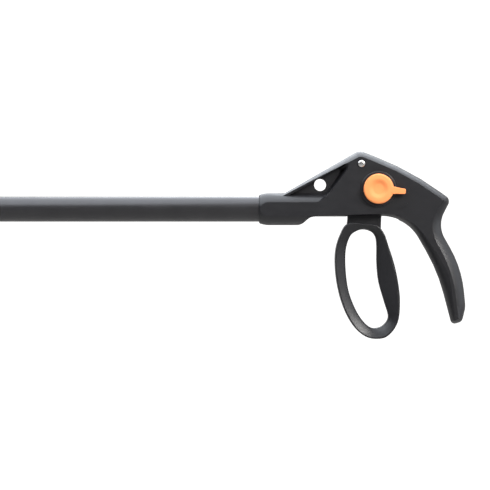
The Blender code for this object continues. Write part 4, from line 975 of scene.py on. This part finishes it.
def jaw_piece(label, way, edge):
    """A jaw: arm, back, and the plate that its pad sits on."""
    away = slot_direction(1)
    side = Vector((-away.y, away.x))
    end = away * (JAW_PIVOT_Z / math.cos(JAW_SWING / 2) + 5 * MM)
    seat = -JAW_SEAT / MM
    corners = [
        (7.6, 7.6, 7.0),
        (-40, 7.4, 60),
        (-97, seat + 5.2, 2.5),
        (-97, seat, 1),
        (-56, seat, 6),
        (-41, -5.0, 14),
        (-3.2, -6.8, 3),
    ]
    for half in (-5 * MM, 5 * MM):
        tip = (end + side * half) / MM
        corners.append((tip.x, tip.y, 4.8))
    shape = prism([(x, way * z, radius) for x, z, radius in corners], -JAW_HALF, JAW_HALF)
    jaw = new_object(f"{label}_jaw_body", soften(shape, edge))
    low, high = sorted((way * -JAW_SEAT, way * (-JAW_SEAT + 3.2 * MM)))
    half = PAD_HALF - 0.8 * MM
    plate = box((PAD_FRONT - 1 * MM, -half, low), (PAD_BACK + 1 * MM, half, high))
    combine(jaw, soften(plate, edge), "UNION")
    lap = ((-9, way * -9.6, 0), (30, way * -9.6, 0), (30, way * -40, 0), (-9, way * -40, 0))
    for inner, outer in ((-way * PARTING, way * THROUGH), (-way * TONGUE_HALF, -way * THROUGH)):
        combine(jaw, prism(lap, *sorted((inner, outer))))
    away = slot_direction(way)
    start = away * (JAW_PIVOT_Z - 0.15 * MM)
    stop = away * (JAW_PIVOT_Z / math.cos(JAW_SWING / 2) + 0.15 * MM)
    combine(jaw, capsule(-THROUGH, THROUGH, start, stop, CROSS_PIN_RADIUS + RUNNING))
    combine(jaw, across((0, 0), -THROUGH, THROUGH, JAW_PIN_RADIUS + RUNNING))
    recess_end = (PAD_MIDDLE, 0, -way * (JAW_SEAT - PAD_RIVET_INSET))
    combine(jaw, bar((PAD_MIDDLE, 0, way * 12 * MM), recess_end, PAD_RIVET_RECESS_RADIUS))
    combine(jaw, bar((PAD_MIDDLE, 0, 0), (PAD_MIDDLE, 0, -way * THROUGH), PAD_RIVET_BORE))
    return open_up(jaw, way)


def pad_piece(label, way):
    """A rubber pad whose gripping face has round grooves across it."""
    seat = -JAW_SEAT - GAP
    face = seat - PAD_THICK
    pitch = (PAD_BACK - PAD_FRONT) / (PAD_GROOVES + 1)
    bevel = 0.6 * MM
    front = ((PAD_FRONT, seat), (PAD_FRONT, face + bevel), (PAD_FRONT + bevel, face))
    back = ((PAD_BACK - bevel, face), (PAD_BACK, face + bevel), (PAD_BACK, seat))
    outline = [Vector(point) for point in front]
    for groove in range(1, PAD_GROOVES + 1):
        centre = Vector((PAD_FRONT + pitch * groove, face))
        outline += [on_arc(centre, 0.9 * MM, math.pi * (1 - step / 8)) for step in range(9)]
    outline += [Vector(point) for point in back]
    points = [Vector((point.x, way * point.y)) for point in outline]
    bm = stack([(-PAD_HALF, points), (PAD_HALF, points)])
    pad = new_object(f"{label}_pad_ribbed", soften(bm, 0.25 * MM, math.radians(60), 2))
    bore_end = (PAD_MIDDLE, 0, way * (face + 1.4 * MM))
    combine(pad, bar((PAD_MIDDLE, 0, 0), bore_end, PAD_RIVET_BORE))
    return open_up(pad, way)


def domed_head(radius, height, seat, shank, tip):
    """The profile of a round-headed pin, from its crown down to the far end of its shank."""
    profile = [(0, seat + height)]
    for step in range(1, 9):
        angle = step / 8 * math.pi / 2
        profile.append((radius * math.sin(angle), seat + 0.25 * height + 0.75 * height * math.cos(angle)))
    bevel = 0.5 * MM
    return profile + [(radius, seat), (shank, seat), (shank, tip + bevel), (shank - bevel, tip), (0, tip)]


# ---------------- operators


class REACHER_OT_handle(bpy.types.Operator):
    """Build both halves of the handle and the padlock signs beside the knob"""

    bl_idname = "reacher.handle"
    bl_label = "Handle Shells"

    def execute(self, context):
        radius = context.scene.reacher.edge_radius
        for name, side in (("left", -1), ("right", 1)):
            shell = handle_shell(f"{name}_housing", side, radius)
            finish(shell, "handle", "moulded_plastic", [f"handle_{name}_shell"])
        signs = (("sign_locked", (150.0, 18.0), 0.0), ("sign_unlocked", (145.6, 3.4), math.radians(-40)))
        for name, place, swing in signs:
            sign = padlock_mark(name, Vector(place) * MM, swing)
            finish(sign, "handle", "moulded_plastic")
        return {"FINISHED"}


class REACHER_OT_trigger(bpy.types.Operator):
    """Build the finger-loop trigger"""

    bl_idname = "reacher.trigger"
    bl_label = "Trigger"

    def execute(self, context):
        trigger = trigger_piece(context.scene.reacher.edge_radius)
        finish(trigger, "trigger", "moulded_plastic", ["trigger"])
        return {"FINISHED"}


class REACHER_OT_knob(bpy.types.Operator):
    """Build the lock knob"""

    bl_idname = "reacher.knob"
    bl_label = "Lock Knob"

    def execute(self, context):
        finish(knob_piece(), "lock", "knob_plastic", ["lock_knob"])
        return {"FINISHED"}


class REACHER_OT_tube(bpy.types.Operator):
    """Build the anodised tube"""

    bl_idname = "reacher.tube"
    bl_label = "Tube"

    def execute(self, context):
        finish(tube_piece(), "handle", "anodised_aluminium", ["tube"])
        return {"FINISHED"}


class REACHER_OT_head(bpy.types.Operator):
    """Build the fork that carries the jaws"""

    bl_idname = "reacher.head"
    bl_label = "Head"

    def execute(self, context):
        head = head_piece(context.scene.reacher.edge_radius)
        finish(head, "handle", "moulded_plastic", ["head"])
        return {"FINISHED"}


class REACHER_OT_jaws(bpy.types.Operator):
    """Build both jaws and their rubber pads"""

    bl_idname = "reacher.jaws"
    bl_label = "Jaws and Pads"

    def execute(self, context):
        edge = context.scene.reacher.edge_radius
        for label, way in (("upper", 1), ("lower", -1)):
            body = f"{label}_jaw"
            finish(jaw_piece(label, way, edge), body, "moulded_plastic", [body])
            finish(pad_piece(label, way), body, "pad_rubber", [f"{label}_pad"])
        return {"FINISHED"}


class REACHER_OT_pins(bpy.types.Operator):
    """Build the pins and rivets whose heads show"""

    bl_idname = "reacher.pins"
    bl_label = "Pins and Rivets"

    def execute(self, context):
        seat = HALF_WIDTH + GAP
        profile = domed_head(3.5 * MM, 1.9 * MM, seat, PIN_RADIUS, -HALF_WIDTH + GAP)
        pin = new_object("trigger_pin", turned(profile, (PIVOT.x, 0, PIVOT.y), (0, -1, 0)))
        finish(pin, "handle", "plated_steel", ["pivot_pin"])
        seat = CHEEK_OUTER + GAP
        for label, way in (("upper", 1), ("lower", -1)):
            place = (JAW_PIVOTS[way].x, 0, JAW_PIVOTS[way].y)
            profile = domed_head(3.8 * MM, 1.5 * MM, seat, JAW_PIN_RADIUS, -seat - 1.9 * MM)
            pin = new_object(f"{label}_jaw_pin_head", turned(profile, place, (0, -1, 0), 48))
            finish(pin, "handle", "plated_steel", [f"{label}_jaw_pin"])
        rivet = node_place("head_rivet_left")
        for label, side in (("left", -1), ("right", 1)):
            profile = domed_head(3 * MM, 1.3 * MM, TUBE_RADIUS + GAP, HEAD_RIVET_RADIUS, 3.8 * MM)
            item = new_object(f"{label}_head_rivet", turned(profile, (rivet.x, 0, rivet.z), (0, side, 0), 48))
            finish(item, "handle", "plated_steel", [f"head_rivet_{label}"])
        return {"FINISHED"}


class REACHER_OT_screws(bpy.types.Operator):
    """Build the screws that close the handle"""

    bl_idname = "reacher.screws"
    bl_label = "Handle Screws"

    def execute(self, context):
        top = SCREW_SEAT + GAP + 2 * MM
        profile = (
            (0, top),
            (SCREW_HEAD_RADIUS, top),
            (SCREW_HEAD_RADIUS, SCREW_SEAT + GAP),
            (SCREW_RADIUS, SCREW_SEAT + GAP),
            (SCREW_RADIUS, -7.8 * MM),
            (0, -9 * MM),
        )
        for index, place in enumerate(SCREW_PLACES):
            shape = turned(profile, (place.x, 0, place.y), (0, 1, 0), 48, edge=0.4 * MM)
            screw = new_object(f"closing_screw_{index + 1}", shape)
            for arm in (0, 1):
                half = (1.9 * MM, 0.35 * MM) if arm else (0.35 * MM, 1.9 * MM)
                low = (place.x - half[0], top - 1.1 * MM, place.y - half[1])
                high = (place.x + half[0], top + 1 * MM, place.y + half[1])
                combine(screw, box(low, high))
            finish(screw, "handle", "brushed_steel", [f"shell_screw_{index + 1}"])
        return {"FINISHED"}


class REACHER_OT_inner_works(bpy.types.Operator):
    """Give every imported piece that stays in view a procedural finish"""

    bl_idname = "reacher.inner_works"
    bl_label = "Inner Works"

    def execute(self, context):
        slots = {entry["node"]: entry["material_slot"] for entry in frame["record"]["subparts"]}
        finishes = {"nylon": "white_nylon", "steel": "brushed_steel", "pin_steel": "plated_steel"}
        for name, item in frame["nodes"].items():
            if item.hide_render:
                continue
            item.data.materials.clear()
            item.data.materials.append(material_of(finishes[slots[name]]))
        return {"FINISHED"}


class REACHER_OT_stage(bpy.types.Operator):
    """Set up the pale floor, the soft lights and the camera"""

    bl_idname = "reacher.stage"
    bl_label = "Stage"

    def execute(self, context):
        scene = context.scene
        add_floor()
        add_lights(scene)
        add_camera(scene)
        return {"FINISHED"}


# ---------------- stage


def add_floor():
    """A pale floor that curves up into a backdrop, with a painted glow: its emission makes it white behind the
    handle and dimmer everywhere else.
    """
    bm = bmesh.new()
    edge = [(-FLOOR_REACH, FLOOR_Z), (BACKDROP_Y, FLOOR_Z)]
    for step in range(1, 16):
        angle = math.radians(6 * step)
        edge.append((BACKDROP_Y + BEND * math.sin(angle), FLOOR_Z + BEND * (1 - math.cos(angle))))
    edge.append((BACKDROP_Y + BEND, FLOOR_REACH / 2))
    verts = [bm.verts.new((-FLOOR_REACH, y, z)) for y, z in edge]
    edges = [bm.edges.new(pair) for pair in zip(verts, verts[1:])]
    made = bmesh.ops.extrude_edge_only(bm, edges=edges)["geom"]
    verts = [item for item in made if isinstance(item, bmesh.types.BMVert)]
    bmesh.ops.translate(bm, verts=verts, vec=(2 * FLOOR_REACH, 0, 0))
    floor = new_object("floor", bm)
    floor.data.shade_smooth()
    material = bpy.data.materials.new("pale_paper")
    material.use_nodes = True
    tree = material.node_tree
    shader = tree.nodes["Principled BSDF"]
    coords = tree.nodes.new("ShaderNodeTexCoord").outputs["Object"]
    shade = spread_range(tree, noise(tree, coords, 3, 3), 0, 1)
    paper = blend_colours(tree, shade, (0.5, 0.485, 0.465), (0.53, 0.515, 0.495))
    tree.links.new(paper, shader.inputs["Base Color"])
    shader.inputs["Roughness"].default_value = 0.9
    shader.inputs["Specular IOR Level"].default_value = 0.1
    # Painted glow: the paper emits white light, strongest in a pool on the backdrop behind the handle, fading to a
    # dimmer glow over the rest of the floor
    shader.inputs["Emission Color"].default_value = (1, 1, 1, 1)
    centre = (
        -(ORIGIN.x + VIEW_CENTRE.x),
        -GLOW_DEPTH * (BACKDROP_Y + BEND),
        -(ORIGIN.z + VIEW_CENTRE.y),
    )
    flat = node(tree, "ShaderNodeMapping", Location=centre, Scale=(1, GLOW_DEPTH, 1))
    tree.links.new(coords, flat.inputs["Vector"])
    away = node(tree, "ShaderNodeVectorMath")
    away.operation = "LENGTH"
    tree.links.new(flat.outputs["Vector"], away.inputs[0])
    glow = spread_range(tree, away.outputs["Value"], 1.0, FLOOR_GLOW, GLOW_RADIUS, GLOW_RADIUS + GLOW_FADE)
    tree.links.new(glow, shader.inputs["Emission Strength"])
    floor.data.materials.append(material)


def add_area_light(name, place, target, size, power, colour, spread):
    light = bpy.data.lights.new(name, "AREA")
    light.shape = "RECTANGLE"
    light.size, light.size_y = size
    light.energy = power
    light.color = colour
    light.spread = math.radians(spread)
    lamp = bpy.data.objects.new(name, light)
    lamp.location = place
    lamp.visible_camera = False
    lamp.rotation_euler = (place - target).to_track_quat("Z", "Y").to_euler()
    bpy.context.scene.collection.objects.link(lamp)


def add_lights(scene):
    world = bpy.data.worlds.new("studio")
    scene.world = world
    world.use_nodes = True
    background = world.node_tree.nodes["Background"]
    background.inputs["Color"].default_value = (0.86, 0.92, 1.0, 1)
    background.inputs["Strength"].default_value = 0.1
    middle = Vector((ORIGIN.x, 0, 0))
    for name, (offset, *values) in LAMPS.items():
        add_area_light(name, middle + Vector(offset), middle, *values)


def add_camera(scene):
    chosen = scene.reacher
    data = bpy.data.cameras.new("camera")
    data.lens = chosen.lens
    data.sensor_width = 36
    data.clip_end = 60
    camera = bpy.data.objects.new("camera", data)
    distance = chosen.view_width * chosen.lens / data.sensor_width
    camera.location = (
        ORIGIN.x + VIEW_CENTRE.x,
        ORIGIN.y - HALF_WIDTH - distance,
        ORIGIN.z + VIEW_CENTRE.y,
    )
    camera.rotation_euler = (math.pi / 2, 0, 0)
    scene.collection.objects.link(camera)
    scene.camera = camera
    scene.view_settings.view_transform = "Standard"


# ---------------- panel and registration


PIECE_OPERATORS = (
    REACHER_OT_handle,
    REACHER_OT_trigger,
    REACHER_OT_knob,
    REACHER_OT_tube,
    REACHER_OT_head,
    REACHER_OT_jaws,
    REACHER_OT_pins,
    REACHER_OT_screws,
    REACHER_OT_inner_works,
    REACHER_OT_stage,
)


class REACHER_PT_panel(bpy.types.Panel):
    """Lists the settings and the pieces in the 3D view's sidebar"""

    bl_idname = "REACHER_PT_panel"
    bl_label = "Reacher Grabber"
    bl_space_type = "VIEW_3D"
    bl_region_type = "UI"
    bl_category = "Reacher"

    def draw(self, context):
        layout = self.layout
        for name in ReacherSettings.__annotations__:
            layout.prop(context.scene.reacher, name)
        for operator in PIECE_OPERATORS:
            layout.operator(operator.bl_idname)


CLASSES = (ReacherSettings, *PIECE_OPERATORS, REACHER_PT_panel)


def register():
    for cls in CLASSES:
        bpy.utils.register_class(cls)
    bpy.types.Scene.reacher = bpy.props.PointerProperty(type=ReacherSettings)


def unregister():
    del bpy.types.Scene.reacher
    for cls in reversed(CLASSES):
        bpy.utils.unregister_class(cls)


def main():
    register()
    bpy.ops.reacher.handle()
    bpy.ops.reacher.trigger()
    bpy.ops.reacher.knob()
    bpy.ops.reacher.tube()
    bpy.ops.reacher.head()
    bpy.ops.reacher.jaws()
    bpy.ops.reacher.pins()
    bpy.ops.reacher.screws()
    bpy.ops.reacher.inner_works()
    bpy.ops.reacher.stage()


if __name__ == "__main__":
    main()
